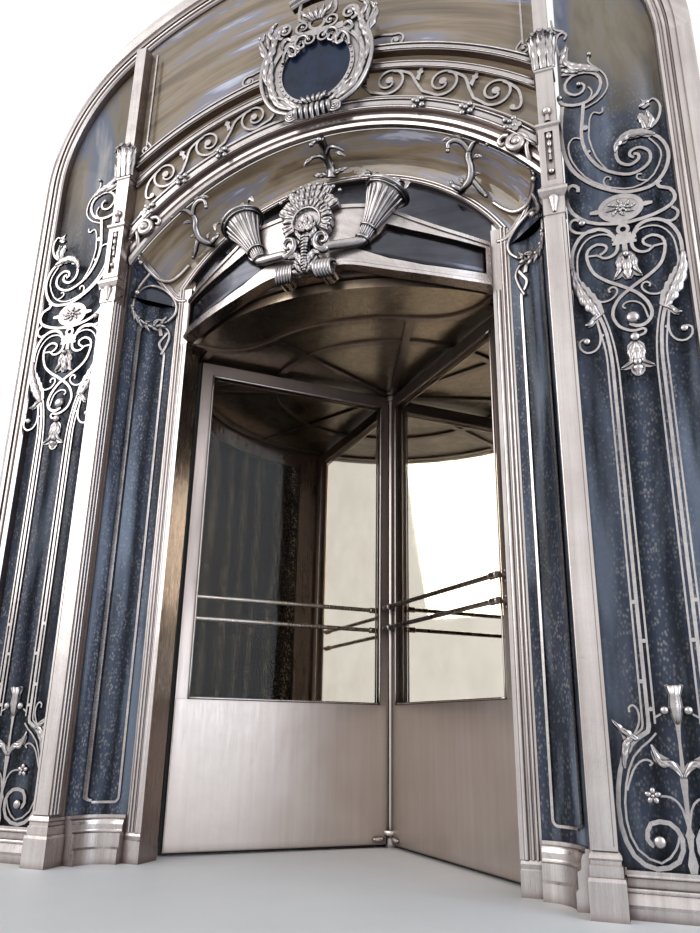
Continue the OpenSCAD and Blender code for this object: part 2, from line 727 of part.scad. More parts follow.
// One pilaster on the right: plinth, shaft, bracket block, capital and mullion
module pilaster() {
  half = plinth_w / 2;
  capital_h = capital_top - capital_low;
  block_h = block_top - shaft_top;
  panel_z = shaft_top + 0.36 * block_h;
  panel_h = 0.54 * block_h;
  color(bronze) {
    mitred(pilaster_x - half + 6, pilaster_x + half - 6, front_y + 6, front_y + plinth_d - 1, [
      [6, 0], [6, plinth_h - 10], [4, plinth_h], [0, plinth_h + 2], [0, plinth_h + 30],
      [-4, plinth_h + 34], [-4, plinth_h + 44], [0, plinth_h + 50], [-2, plinth_h + 60],
      [-8, plinth_h + 68], [-10, plinth_h + 72]]);
    translate([shaft_in, shaft_y, plinth_h + 70]) difference() {
      cube([shaft_w, 80, shaft_top - plinth_h - 69]);
      translate([shaft_w - 12, -1, 12]) cube([3, 3, shaft_top - plinth_h - 100]);
    }
    translate([return_x, shaft_y + 77, 0])
      cube([50, cove_y + 50 - shaft_y - 77, return_top]);
    for (y = [14, 32, 50]) translate([shaft_in - 0.5, shaft_y + y, plinth_h + 70])
      cylinder(r = 6.5, h = shaft_top - plinth_h - 72, $fn = 24);
    difference() {
      mitred(shaft_in, shaft_out, shaft_y, scroll_y - seat, [
        [0, shaft_top - 4], [4, shaft_top], [4, shaft_top + 0.17 * block_h],
        [10, shaft_top + 0.19 * block_h], [18, shaft_top + 0.23 * block_h],
        [18, shaft_top + 0.26 * block_h], [10, shaft_top + 0.28 * block_h],
        [4, shaft_top + 0.31 * block_h], [4, block_top - 22], [12, block_top - 14],
        [12, block_top - 4], [4, block_top]]);
      translate([pilaster_x - 0.22 * shaft_w, shaft_y - 14, panel_z]) cube([0.44 * shaft_w, 22, panel_h]);
    }
    translate([shaft_in + 1, shaft_y + 10, shaft_top - 2]) cube([shaft_w - 2, 60, block_h + 4]);
    translate([pilaster_x, shaft_y + 4, panel_z + 0.2 * panel_h]) sphere(r = 0.17 * shaft_w);
    translate([pilaster_x, shaft_y + 2, panel_z + 0.42 * panel_h])
      cylinder(r1 = 7, r2 = 3, h = 0.45 * panel_h, $fn = 24);
    translate([pilaster_x, shaft_y - 4, shaft_top + 0.02 * block_h])
      cylinder(r1 = 7, r2 = 20, h = 0.13 * block_h);
    translate([pilaster_x, shaft_y - 4, shaft_top + 0.15 * block_h]) sphere(r = 20);
    translate([shaft_in + 2, shaft_y, block_top - 1]) cube([shaft_w - 4, 70, capital_low + 2 - block_top]);
    translate([pilaster_x, shaft_y - 2, block_top + 56]) sphere(r = 19);
    translate([pilaster_x, shaft_y - 1, block_top + 6]) cylinder(r1 = 12, r2 = 6, h = 50);
    mitred(shaft_in + 2, shaft_out - 2, shaft_y, shaft_y + 70, [
      [0, capital_low], [5, capital_low + 5], [5, capital_low + 12], [0, capital_low + 16],
      [0, capital_low + 0.3 * capital_h], [3, capital_low + 0.6 * capital_h],
      [8, capital_top - 24], [9, capital_top - 20], [9, capital_top - 6], [4, capital_top]]);
    for (x = [-1, 0, 1]) translate([pilaster_x + x * 24, shaft_y + 2, capital_low + 16]) {
      cylinder(r1 = 7, r2 = 13, h = 0.72 * capital_h);
      translate([0, -3, 0.72 * capital_h]) sphere(r = 14);
    }
    translate([shaft_in + 8, shaft_y + 10, capital_top - 1])
      cube([shaft_w - 16, 60, mullion_top() - capital_top]);
  }
}

// Height at which the upper mullion meets the outer arch
function mullion_top() =
  spring_z + haunch_r * sin(acos((shaft_out - 8 - haunch_x) / haunch_r)) - seat;

// Moulding of the outer frame: x across from its inner edge, y towards the street
function frame_moulding() = concat(
  [[0, 0], [0, 34], [6, 42], [16, 42], [20, 34], [28, 34]],
  arc([37, 36], 8, 180, 0, 6),
  [[46, 34], [52, 34], [54, 44], [frame_w - 56, 44], [frame_w - 52, 52],
   [frame_w, 60], [frame_w, -40], [0, -40]]);

// One upright of the outer frame on the right, with its base block
module outer_frame() {
  color(bronze) {
    translate([frame_in, glass_y, 0]) linear_extrude(spring_z)
      polygon([for (p = frame_moulding()) [p[0], -p[1]]]);
    difference() {
      mitred(frame_in, frame_out, glass_y - 62, glass_y + 40, [
        [6, 0], [6, 120], [2, 126], [2, 134], [0, 140], [-2, 150], [-6, 160]]);
      translate([frame_in - 20, 2 * front_y, -1]) cube([20, -2 * front_y, 200]);
      translate([frame_out, 2 * front_y, -1]) cube([20, -2 * front_y, 200]);
    }
  }
}

// The three-centred arch of the outer frame
module outer_arch() {
  color(bronze) {
    both_sides() swept([haunch_x, spring_z], glass_y, 0, 90 - haunch_deg)
      translate([haunch_r, 0]) polygon(frame_moulding());
    swept([0, crown_z], glass_y, 90 - haunch_deg, 90 + haunch_deg)
      translate([crown_r, 0]) polygon(frame_moulding());
  }
}

// The moulded base rails under the side bays
module side_bases() {
  color(bronze) both_sides() translate([pilaster_x + plinth_w / 2, front_y + 60, 0])
    rotate([90, 0, 90]) linear_extrude(frame_in - pilaster_x - plinth_w / 2 - seat)
      polygon(concat([[0, 0], [60, 0], [60, base_h], [-8, base_h], [-8, base_h - 8]],
        arc([-4, base_h - 14], 6, 130, 270, 5), [[4, base_h - 22], [4, base_h - 44]],
        arc([-2, base_h - 52], 8, 80, 250, 6), [[-10, 40], [-4, 30]]));
}

// The inner line of the outer arch, moved outwards by d
function arch_line(d, x_from) = let (
  a_from = acos((x_from - haunch_x) / (haunch_r + d)))
  arc([haunch_x, spring_z], haunch_r + d, 0, min(a_from, 90 - haunch_deg), 12);

// The glass of both side bays, up to the arch
module side_glass() {
  glass_from = pilaster_x + 12;
  color(glass_tint) both_sides() upright(glass_y, pane_t) polygon(concat(
    [[glass_from, base_h], [frame_in - seat, base_h]],
    arch_line(-seat, glass_from)));
}

// The glass between the mullions, behind the arch band and above it
module lunette_glass() {
  gx = pilaster_x - 2;
  glass_top_r = crown_r - seat;
  glass_low_r = band_r + 30;
  top_a = asin(gx / glass_top_r);
  low_a = asin(gx / glass_low_r);
  color(glass_tint) upright(band_y + 40 + seat, pane_t) polygon(concat(
    arc([0, crown_z], glass_top_r, 90 - top_a, 90 + top_a, 32),
    arc([0, band_cz], glass_low_r, 90 + low_a, 90 - low_a, 32)));
}

// Points of an ellipse
function ellipse(c, rx, ry, n) =
  [for (i = [0:n - 1]) let (a = 360 * i / n) [c[0] + rx * cos(a), c[1] + ry * sin(a)]];

// Points on a coil round c that keeps near r0 at first and closes in to r1
function coil(c, r0, r1, a0, a1, n) =
  [for (i = [0:n]) let (t = i / n, a = a0 + (a1 - a0) * t, r = r0 + (r1 - r0) * t * t)
    [c[0] + r * cos(a), c[1] + r * sin(a)]];

// A point of a side scroll's drawing, placed from the height z0
function on_panel(z0, p) = [for (q = p) [panel_x + q[0] * panel_k, z0 + q[1] * panel_s]];

// Flat bars and leaves of the panel as flat drawings, placed from the height z0
module bar(z0, p, w = scroll_w, w1 = 0, n = 2) {
  polygon(bar_outline(smooth(on_panel(z0, p), n), w, w1 > 0 ? w1 : w));
}
module leaf(z0, p) {
  polygon(on_panel(z0, p));
}
module dot(z0, p, r) {
  translate(on_panel(z0, [p])[0]) circle(r = r * panel_s, $fn = 12);
}

// Copies its children on the other side of the line x = mid
module both_halves(mid) {
  children();
  translate([2 * mid, 0]) mirror([1, 0]) children();
}

// The main bars of the foot scrolls, which stand on the base rail
module foot_bars(z) {
  both_halves(panel_x) {
    bar(z, [[-83, 402], [-87, 376], [-118, 357], [-163, 305], [-187, 218], [-188, 118], [-158, 38],
      [-98, 6.9], [-36, 30], [-21, 88], [-52, 128], [-104, 124], [-117, 83], [-100, 66]]);
    dot(z, [-84, 77], 18);
    leaf(z, [[-186, 403], [-171, 398], [-148, 379], [-120, 362], [-141, 318], [-158, 298], [-170, 270],
      [-176, 290], [-168, 318], [-160, 345], [-164, 366], [-178, 384]]);
    leaf(z, [[2, 244], [-11, 271], [-36, 279], [-61, 281], [-78, 295], [-85, 318], [-79, 342],
      [-61, 315], [-36, 302], [-14, 290], [2, 266]]);
    leaf(z, [[1, seat], [-9, seat], [-14, 22], [-6, 60], [-9, 90], [-13, 98], [-9, 106], [-5, 120],
      [-7, 200], [-11, 244], [-6, 268], [-4, 345], [-7, 396], [-16, 424], [-20, 452], [-17, 478],
      [-28, 508], [-18, 512], [-8, 500], [1, 506]]);
    dot(z, [-34, 436], 13);
    bar(z, [[-66, 415], [-48, 424], [-34, 436], [-16, 447]], 6);
    for (i = [0:4]) dot(z, [-91 + 12 * cos(72 * i + 20), 199 + 12 * sin(72 * i + 20)], 9);
  }
}

// The thin bars of the foot scrolls
module foot_threads(z) {
  both_halves(panel_x) {
    bar(z, [[-64, 372], [-84, 351], [-134, 305], [-164, 225], [-171, 131], [-146, 55], [-84, 23],
      [-41, 61], [-30, 92]], thread_w);
    bar(z, [[-92, 281], [-83, 288], [-96, 297], [-118, 291], [-140, 266], [-162, 211]], thread_w);
    bar(z, [[-128, 366], [-114, 391], [-108, 415], [-112, 439], [-124, 451], [-136, 443], [-135, 430]],
      thread_w);
    bar(z, [[-100, 402], [-104, 383], [-128, 364]], thread_w);
    bar(z, [[1, 101], [-12, 165], [-31, 191], [-54, 199], [-86, 198]], thread_w);
    for (p = [[-92.7, 520], [-72.2, 640], [-72.2, 440], [-92.7, 760]]) dot(z, p, 6.5);
  }
}

// The straight straps between the foot scrolls and the crossing scrolls
module straps(from, to) {
  both_halves(panel_x) for (s = [[-83, 11], [-100, thread_w], [-64, thread_w]])
    translate([panel_x + s[0] * panel_k - s[1] / 2, from]) square([s[1], to - from]);
}

// The main bars of the crossing scrolls, round the height z at which they cross
module middle_bars(z) {
  both_halves(panel_x) {
    bar(z, [[-30, 212], [-52, 250], [-84, 267], [-124, 265], [-160, 240], [-186, 190], [-192, 130],
      [-182, 52], [-139, -37], [-113, -90], [-93, -163], [-84, -258], [-83, -313]], 14, 11);
    bar(z, [[-33, 22], [-69, 43], [-104, 71], [-124, 100], [-137, 150], [-130, 186], [-97, 204],
      [-66, 192], [-68, 172], [-90, 158]], 12, 9);
    bar(z, [[-24, 192], [-27, 169], [-38, 152], [-57, 142], [-80, 143], [-100, 158], [-137, 160]], 13, 7);
    leaf(z, [[-199, 105], [-195, 60], [-182, 15], [-160, -25], [-135, -70], [-119, -92], [-108, -89],
      [-94, -77], [-104, -27], [-113, -21], [-121, 4], [-130, 9], [-139, 33], [-148, 37],
      [-157, 59], [-165, 62], [-171, 82], [-182, 108]]);
    leaf(z, [[-118, -84], [-140, -101], [-148, -117], [-162, -121], [-152, -128], [-138, -124],
      [-124, -110], [-110, -96]]);
    dot(z, [-164, -182], 12);
    leaf(z, [[1, 190], [-9, 190], [-9, 156], [-20, 150], [-32, 134], [-37, 111], [-34, 86], [-27, 68],
      [-48, 60], [-50, 46], [-30, 49], [-20, 56], [-10, 41], [1, 43]]);
    leaf(z, [[1, -204], [-14, -205], [-28, -219], [-31, -244], [-28, -274], [-22, -286], [-30, -297],
      [-45, -299], [-60, -306], [-40, -310], [-24, -307], [-22, -321], [-12, -333], [1, -337]]);
    translate(on_panel(z, [[-43, 188]])[0]) square([44, 11]);
    translate(on_panel(z, [[-38, 198]])[0]) square([39, 9]);
    translate(on_panel(z, [[-43, 206]])[0]) square([44, 11]);
  }
  bar(z, [[-36, 24], [0, 0], [28, -22], [56, -60], [67, -100], [58, -127], [37, -145], [10, -147],
    [-12, -134]], 12);
  bar(z, [[36, 24], [0, 0], [-35, -27], [-57, -58], [-66, -90], [-61, -116], [-47, -141], [-20, -159],
    [6, -165], [30, -160], [39, -169], [32, -181], [14, -186]], 12, 8);
  dot(z, [0, -112], 24);
  dot(z, [0, -190], 16);
  difference() {
    union() {
      dot(z, [0, 249], 24);
      translate(on_panel(z, [[-27, 210]])[0]) square([54 * panel_k, 22]);
    }
    dot(z, [0, 249], 11);
  }
}

// The thin bars of the crossing scrolls
module middle_threads(z) {
  both_halves(panel_x) {
    bar(z, [[-122, -100], [-116, -142], [-105, -205], [-100, -258], [-100, -313]], thread_w);
    bar(z, [[-124, -100], [-117, -141], [-115, -170], [-120, -200], [-138, -222], [-166, -226],
      [-187, -207], [-188, -180], [-170, -172]], thread_w + 1);
    bar(z, [[-98, -84], [-84, -137], [-72, -205], [-67, -260], [-64, -313]], thread_w);
    bar(z, [[-112, -31], [-91, -35], [-67, -30], [-49, -15], [-42, 1], [-48, 15], [-62, 18], [-72, 8],
      [-67, -1]], thread_w + 1);
    bar(z, [[-34, 214], [-55, 237], [-88, 244], [-121, 237], [-148, 214], [-168, 175], [-174, 125],
      [-174, 79]], thread_w);
    dot(z, [-107, -166], 5);
  }
  bar(z, [[52, -122], [47, -98], [38, -70], [18, -53], [-5, -48], [-23, -54], [-29, -66], [-20, -74]],
    thread_w);
}

// The main bars of the upper scrolls, which lean from the medallion to the pilaster
module upper_bars(z) {
  bar(z, [[-148, 447], [-146, 466], [-166, 481], [-185, 466], [-192, 415], [-173, 356], [-120, 306],
    [-50, 283], [26, 275], [115, 289], [176, 317], [192, 350], [178, 384], [145, 399], [139, 417],
    [151, 427]]);
  bar(z, [[-96, 264], [-132, 262], [-167, 270], [-188, 292], [-186, 316], [-168, 328], [-150, 316]], 10);
  bar(z, [[128, 262], [168, 248], [190, 262], [194, 286], [176, 306]], 10);
  dot(z, [-144, 307], 14);
  difference() {
    polygon(ellipse(on_panel(z, [[0, 341]])[0], 80 * panel_s, 60 * panel_s, 40));
    polygon(ellipse(on_panel(z, [[0, 341]])[0], 62 * panel_s, 41 * panel_s, 40));
  }
  for (x = [-1, 1], k = [0, 1, 2]) dot(z, [x * (88 + 9 * k), 341], 10 - 1.5 * k);
  bar(z, [[-178, 858], [-190, 766], [-191, 690], [-182, 610], [-150, 532], [-85, 463], [0, 413],
    [60, 403], [125, 415], [172, 468], [190, 545], [163, 617], [100, 656], [40, 646], [7, 598],
    [12, 546], [48, 521], [82, 537], [84, 560], [68, 566]], scroll_w + 2, scroll_w - 2, 3);
  bar(z, [[-96, 850], [-106, 776], [-115, 692], [-100, 608], [-53, 531], [26, 484], [80, 486],
    [121, 518], [124, 562], [92, 590], [60, 582], [54, 562], [68, 550]], scroll_w, scroll_w - 3, 3);
  leaf(z, [[139, 651], [115, 669], [84, 676], [50, 670], [18, 646], [0, 611], [-2, 586], [12, 583],
    [12, 601], [26, 618], [44, 622], [56, 636], [78, 636], [104, 636], [128, 626], [147, 631]]);
  bar(z, [[116, 662], [144, 672], [165, 692], [178, 721], [183, 753], [176, 781], [160, 798],
    [142, 788]], 12, 6);
  leaf(z, [[115, 812], [122, 801], [140, 795], [148, 773], [126, 760], [107, 771], [118, 777],
    [122, 789]]);
  leaf(z, [[95, 718], [105, 743], [118, 738], [122, 725], [130, 744], [140, 745], [139, 716],
    [160, 701], [158, 680], [125, 662], [114, 691], [108, 709]]);
  bar(z, [[-188, 900], [-178, 873], [-135, 853], [-85, 855], [-42, 882], [-22, 930], [-35, 976],
    [-80, 1002], [-130, 998], [-160, 965], [-156, 925], [-125, 901], [-95, 910], [-86, 937],
    [-100, 954]], scroll_w, scroll_w - 4);
  dot(z, [-186, 903], 11);
  dot(z, [-108, 948], 10);
  bar(z, [[-32, 985], [-106, 1032], [-150, 1074], [-174, 1125], [-182, 1180], [-172, 1222],
    [-149, 1230], [-137, 1211], [-148, 1193]], 11, 8);
  leaf(z, [[-176, 1098], [-166, 1132], [-156, 1145], [-150, 1135], [-143, 1155], [-133, 1142],
    [-138, 1124], [-142, 1080]]);
  leaf(z, [[-182, 1092], [-158, 1076], [-130, 1050], [-146, 1048], [-171, 1058]]);
  leaf(z, [[-173, 1012], [-145, 1042], [-118, 1036], [-104, 1014], [-120, 1000], [-153, 1008]]);
}

// The thin bars of the upper scrolls
module upper_threads(z) {
  bar(z, [[-27, 809], [-27, 793], [-39, 786], [-61, 797], [-78, 770], [-86, 708], [-87, 671],
    [-69, 587], [-36, 524]], thread_w);
  bar(z, [[-118, 686], [-132, 694], [-150, 695], [-166, 672], [-168, 640], [-158, 587], [-116, 508],
    [-53, 453], [21, 421], [80, 424], [130, 458], [164, 530], [156, 580], [128, 622]], thread_w);
  bar(z, [[-27, 432], [-46, 452], [-50, 474], [-37, 489], [-23, 480], [-27, 470]], thread_w);
  bar(z, [[106, 438], [84, 444], [69, 457], [74, 472], [88, 470]], thread_w);
  bar(z, [[-72, 926], [-61, 906], [-62, 882], [-80, 858]], thread_w);
  bar(z, [[-57, 1079], [-62, 1053], [-49, 1027], [-22, 995], [-3, 960], [3, 914], [-10, 880],
    [-45, 846], [-96, 826]], thread_w + 1, thread_w - 1);
  dot(z, [-56, 1084], 9);
  dot(z, [-99, 734], 12);
  dot(z, [-92, 620], 6);
  bar(z, [[-194, 1311], [-192, 1285], [-184, 1260], [-166, 1246], [-146, 1234]], thread_w + 2);
}

// The flat-bar scrollwork in front of the right side bay
module scrollwork() {
  strap_low = base_h + 398 * panel_s;
  strap_top = crossing_z - 308 * panel_s;
  color(bronze) {
    upright(scroll_y, scroll_t) {
      foot_bars(base_h);
      middle_bars(crossing_z);
      upper_bars(crossing_z);
      foot_threads(base_h);
      middle_threads(crossing_z);
      upper_threads(crossing_z);
      straps(strap_low, strap_top);
    }
    translate([panel_x, scroll_y + 5, crossing_z + 341 * panel_s]) rotate([90, 0, 0])
      linear_extrude(4) polygon(ellipse([0, 0], 66 * panel_s, 44 * panel_s, 40));
  }
}

// The curved rails of the arch band
module arch_band() {
  block_end = shaft_in - 12 - seat;
  capital_end = shaft_in - 7 - seat;
  rails = [[0, 46, 36, block_end], [66, 14, 20, shaft_in + 2 - seat],
    [224, 32, 24, capital_end], [304, 38, 40, capital_end]];
  color(bronze) for (rail = rails) let (r = band_r + rail[0], end_a = acos(rail[3] / r) - 3)
    within(rail[3]) swept([0, band_cz], band_y + 40, end_a, 180 - end_a)
      translate([r, 0]) polygon([[0, 0], [0, rail[2] - 4], [4, rail[2]], [rail[1] - 4, rail[2]],
        [rail[1], rail[2] - 4], [rail[1], 0]]);
}

// A point of the band, t along it from the angle a and r above its middle circle
function on_band(a, p) = let (b = a + p[0] / band_mid_r * 180 / PI, r = band_mid_r + p[1])
  [r * sin(b), band_cz + r * cos(b)];

// The centre of a circle of radius r that rests on the top rail at the distance x
function over_band(x, r) = [x, band_cz + sqrt(pow(band_top_r + r + seat, 2) - x * x)];

// The running scrolls between the rails of the arch band, with rosettes and clips
module arch_scrolls() {
  half_a = asin(shaft_in / band_mid_r);
  pitch = 0.24 * half_a;
  first = 0.318 * half_a;
  loop_r = 67.7;
  tail = smooth([[-246, 55], [-205, 50], [-160, 34], [-120, -12], [-76, -53]], 4);
  wave = concat(tail, coil([0, 0], loop_r, 16, 248, 720, 32));
  color(bronze) both_sides() {
    upright(band_y + 22, scroll_t) {
      for (k = [0:2]) let (a = first + pitch * k) {
        polygon(bar_outline([for (p = wave) on_band(a, p)], 13, 9));
        translate(on_band(a, [0, 6])) circle(r = 17, $fn = 24);
        polygon([for (p = [[-131, 10], [-127, 36], [-134, 42], [-134, 50], [-127, 54], [-127, 68.6],
          [-113, 68.6], [-113, 54], [-106, 50], [-106, 42], [-113, 36], [-109, 0]]) on_band(a, p)]);
      }
      polygon(bar_outline([for (p = smooth([[-246, 55], [-205, 50], [-160, 34], [-118, -8],
        [-112, -36], [-134, -50]])) on_band(first + 3 * pitch, p)], 13, 9));
      translate(on_band(first + 3 * pitch, [-138, -42])) circle(r = 12);
    }
    upright(band_y - 6, 10 - seat) for (k = [0:2]) let (a = first + pitch * (k + 0.8))
      translate(on_band(a, [0, -126])) rotate(45 - a) for (i = [0:3])
        rotate(90 * i) translate([15, 0]) circle(r = 12);
    upright(band_y + 12, 10) {
      c = over_band(0.385 * shaft_in, coil_rest);
      polygon(bar_outline(concat(smooth([c + [-110, 52], c + [-62, 48], c + [-22, 36]]),
        coil(c, 34, 10, 100, -290, 20)), 10, 7));
      translate(c) circle(r = 12, $fn = 24);
    }
    upright(band_y + 12, 10) {
      c = over_band(shaft_in - 42, hook_rest);
      translate(c - [4, -20]) square([8, mullion_top() - c[1] - 60]);
      polygon(bar_outline(concat([c + [0, 44]], coil(c, 28, 8, 150, 480, 16)), 8, 7));
      translate(c) circle(r = 8, $fn = 24);
    }
  }
}

// Half of the outline of the frame round the shield, up from its foot, as shares
// of the shield's half width and half height
function shield_edge() = smooth([for (p = [[0, -1.25], [0.62, -1.2], [1.14, -0.86], [1.5, -0.3],
  [1.6, 0.2], [1.46, 0.72], [1.66, 1.2], [1.36, 1.12], [1.22, 1.3], [1.06, 1.52], [0.84, 1.42],
  [0.9, 1.14], [0.5, 1.02], [0, 1.0]]) [p[0] * shield_w, shield_z + p[1] * shield_h]], 4);

// A coil with a ball in its eye, drawn flat for the right side
module curl(c, r0, r1, a0, a1, w) {
  polygon(bar_outline(coil(c, r0, r1, a0, a1, 24), w, 0.7 * w));
  translate(c) circle(r = r1 + 1);
}

// The scrolled frame round the oval shield, with its crest and the ribbed clasp
module cartouche_frame() {
  c = [0, shield_z];
  y = band_y - 44 - seat;
  edge = shield_edge();
  crest_z = shield_z + 1.52 * shield_h;
  crest_r = 265;
  color(bronze) difference() {
    union() {
      upright(y + 14, 30) difference() {
        polygon(concat(edge, [for (i = [len(edge) - 2:-1:1]) [-edge[i][0], edge[i][1]]]));
        polygon(ellipse(c, shield_w + seat, shield_h + seat, 48));
      }
      upright(y + 6, 10) difference() {
        polygon(ellipse(c, 1.42 * shield_w, 1.24 * shield_h, 48));
        polygon(ellipse(c, 1.3 * shield_w, 1.14 * shield_h, 48));
      }
      upright(y + 8, 8) difference() {
        polygon(ellipse(c, 1.12 * shield_w, 1.08 * shield_h, 48));
        polygon(ellipse(c, shield_w + seat, shield_h + seat, 48));
      }
      upright(y, 16) both_sides() {
        curl(c + [0.98 * shield_w, 1.4 * shield_h], 42, 12, -80, 330, 15);
        curl(c + [0.62 * shield_w, 0.72 * shield_h], 36, 9, 90, -300, 12);
        curl(c + [0.22 * shield_w, 0.9 * shield_h], 30, 8, 60, 460, 11);
        curl(c + [0.42 * shield_w, 1.34 * shield_h], 34, 9, -100, 300, 11);
      }
      upright(y + 4, 14) {
        difference() {
          translate([0, shield_z + 1.42 * shield_h]) circle(r = 46);
          translate([0, shield_z + 1.42 * shield_h]) circle(r = 31);
        }
        difference() {
          translate([-0.78 * shield_w, shield_z + 1.0 * shield_h])
            square([1.56 * shield_w, 0.2 * shield_h]);
          translate([0, shield_z + 1.42 * shield_h]) circle(r = 31);
        }
        both_sides() polygon(bar_outline(smooth([[0.14 * shield_w, shield_z + 1.5 * shield_h],
          [0.5 * shield_w, shield_z + 1.62 * shield_h], [0.55 * shield_w, shield_z + 1.9 * shield_h],
          [0.5 * shield_w, shield_z + 2.24 * shield_h]]), 12, 16));
      }
      swept([0, crest_z + 0.72 * shield_h - crest_r], y + 30, 90 - 29, 90 + 29)
        polygon([[crest_r, 0], [crest_r, 26], [crest_r + 8, 32], [crest_r + 14, 34], [crest_r + 20, 44],
          [crest_r + 34, 46], [crest_r + 34, 0]]);
    }
    for (i = [-3:3]) translate([i * 30, y + 2, shield_z - 1.92 * shield_h])
      cylinder(r = 17 - abs(i), h = 0.9 * shield_h);
  }
}

// The plain oval shield
module cartouche_shield() {
  color("midnightblue") upright(band_y - 26, 14)
    polygon(ellipse([0, shield_z], shield_w, shield_h, 48));
}

floor_pivot();
centre_post();
wing_frame(1);  // wing_frame_1
wing_frame(2);  // wing_frame_2
wing_frame(3);  // wing_frame_3
wing_frame(4);  // wing_frame_4
wing_glass(1);  // wing_glass_1
wing_glass(2);  // wing_glass_2
wing_glass(3);  // wing_glass_3
wing_glass(4);  // wing_glass_4
push_bars(1);  // push_bars_1
push_bars(2);  // push_bars_2
push_bars(3);  // push_bars_3
push_bars(4);  // push_bars_4
wing_seals();
mirror([1, 0, 0]) drum_frame();  // drum_frame_left
drum_frame();  // drum_frame_right
mirror([1, 0, 0]) drum_glass();  // drum_glass_left
drum_glass();  // drum_glass_right
rear_frame();
drum_ceiling();
ceiling_ribs();
head_cornice();
door_head();
head_board();
head_ornament();
mirror([1, 0, 0]) jamb();  // jamb_left
jamb();  // jamb_right
inner_arch();
transom_glass();
round_arch();
cove_bases();
cove_glass();
glass_trim();
mirror([1, 0, 0]) pilaster();  // pilaster_left
pilaster();  // pilaster_right
mirror([1, 0, 0]) outer_frame();  // outer_frame_left
outer_frame();  // outer_frame_right
outer_arch();
side_bases();
side_glass();
lunette_glass();
mirror([1, 0, 0]) scrollwork();  // scrollwork_left
scrollwork();  // scrollwork_right
arch_band();
arch_scrolls();
cartouche_frame();
cartouche_shield();
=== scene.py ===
# %% [markdown]
# A bronze revolving door in its entrance bay.
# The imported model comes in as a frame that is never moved. Sizes are in metres where a cell says
# nothing else. The origin is on the turning axis at floor level, the street is on the minus Y side
# and Z points up.

# %% Load the frame
from math import asin, cos, pi, radians, sin, sqrt

import bmesh
import bpy
from mathutils import Matrix, Vector


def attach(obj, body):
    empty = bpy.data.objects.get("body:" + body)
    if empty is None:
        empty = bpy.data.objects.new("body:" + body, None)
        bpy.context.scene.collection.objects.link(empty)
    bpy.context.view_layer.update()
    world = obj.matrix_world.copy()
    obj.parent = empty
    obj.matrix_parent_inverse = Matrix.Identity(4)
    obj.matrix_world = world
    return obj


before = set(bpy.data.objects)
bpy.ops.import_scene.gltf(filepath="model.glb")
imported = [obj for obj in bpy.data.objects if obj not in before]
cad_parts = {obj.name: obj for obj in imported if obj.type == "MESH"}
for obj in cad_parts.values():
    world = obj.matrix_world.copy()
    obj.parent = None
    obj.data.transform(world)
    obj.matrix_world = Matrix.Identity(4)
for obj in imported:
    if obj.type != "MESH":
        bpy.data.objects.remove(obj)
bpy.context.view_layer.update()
scene = bpy.context.scene

# %% [markdown]
# The picture was taken from low down on the right, looking up and to the left. A camera is a
# position and three directions, so the matrix is built from yaw, pitch and roll. Setting the lens
# from the picture's own focal length keeps straight lines leaning as they do in the picture.

# %% Camera
picture_height = 933
focal_pixels = 786.2
camera_place = Vector((1.160, -3.746, 0.487))
yaw, pitch, roll = radians(20.46), radians(18.67), radians(1.02)

ahead = Vector((-sin(yaw) * cos(pitch), cos(yaw) * cos(pitch), sin(pitch)))
level_right = Vector((cos(yaw), sin(yaw), 0))
level_up = level_right.cross(ahead)
right = cos(roll) * level_right + sin(roll) * level_up
up = cos(roll) * level_up - sin(roll) * level_right

lens = bpy.data.cameras.new("camera")
lens.sensor_fit = "VERTICAL"
lens.sensor_height = 36
lens.lens = focal_pixels / picture_height * lens.sensor_height
camera = bpy.data.objects.new("camera", lens)
scene.collection.objects.link(camera)
turn = Matrix((right, up, -ahead)).transposed().to_4x4()
camera.matrix_world = Matrix.Translation(camera_place) @ turn
scene.camera = camera
print("lens in mm:", round(lens.lens, 2))

# %% [markdown]
# Metal only looks like metal when it has something soft to reflect. Large area lamps give the long
# pale streaks on the mouldings. The world is white where the camera, a reflection or a pane looks
# at it, and dimmer for everything else, so the background is white without flooding the door.

# %% Light
scene.view_settings.view_transform = "Standard"
world = bpy.data.worlds.new("studio")
scene.world = world
world.use_nodes = True
world_tree = world.node_tree
world_tree.nodes.clear()
path = world_tree.nodes.new("ShaderNodeLightPath")
seen, seen_all = (world_tree.nodes.new("ShaderNodeMath") for _ in range(2))
for either in (seen, seen_all):
    either.operation = "ADD"
    either.use_clamp = True
soft_sky, white_sky = (world_tree.nodes.new("ShaderNodeBackground") for _ in range(2))
for sky, tint, strength in ((soft_sky, (0.86, 0.92, 1.0, 1), 0.42), (white_sky, (1, 1, 1, 1), 1)):
    sky.inputs["Color"].default_value = tint
    sky.inputs["Strength"].default_value = strength
choose = world_tree.nodes.new("ShaderNodeMixShader")
world_out = world_tree.nodes.new("ShaderNodeOutputWorld")
link = world_tree.links.new
link(path.outputs["Is Camera Ray"], seen.inputs[0])
link(path.outputs["Is Glossy Ray"], seen.inputs[1])
link(seen.outputs[0], seen_all.inputs[0])
link(path.outputs["Is Transmission Ray"], seen_all.inputs[1])
link(seen_all.outputs[0], choose.inputs["Fac"])
link(soft_sky.outputs[0], choose.inputs[1])
link(white_sky.outputs[0], choose.inputs[2])
link(choose.outputs[0], world_out.inputs["Surface"])


def lamp(name, place, aim, size, watts, tint):
    data = bpy.data.lights.new(name, "AREA")
    data.shape = "RECTANGLE"
    data.size, data.size_y = size
    data.energy = watts
    data.color = tint
    obj = bpy.data.objects.new(name, data)
    scene.collection.objects.link(obj)
    obj.location = place
    obj.rotation_euler = (Vector(aim) - Vector(place)).to_track_quat("-Z", "Y").to_euler()


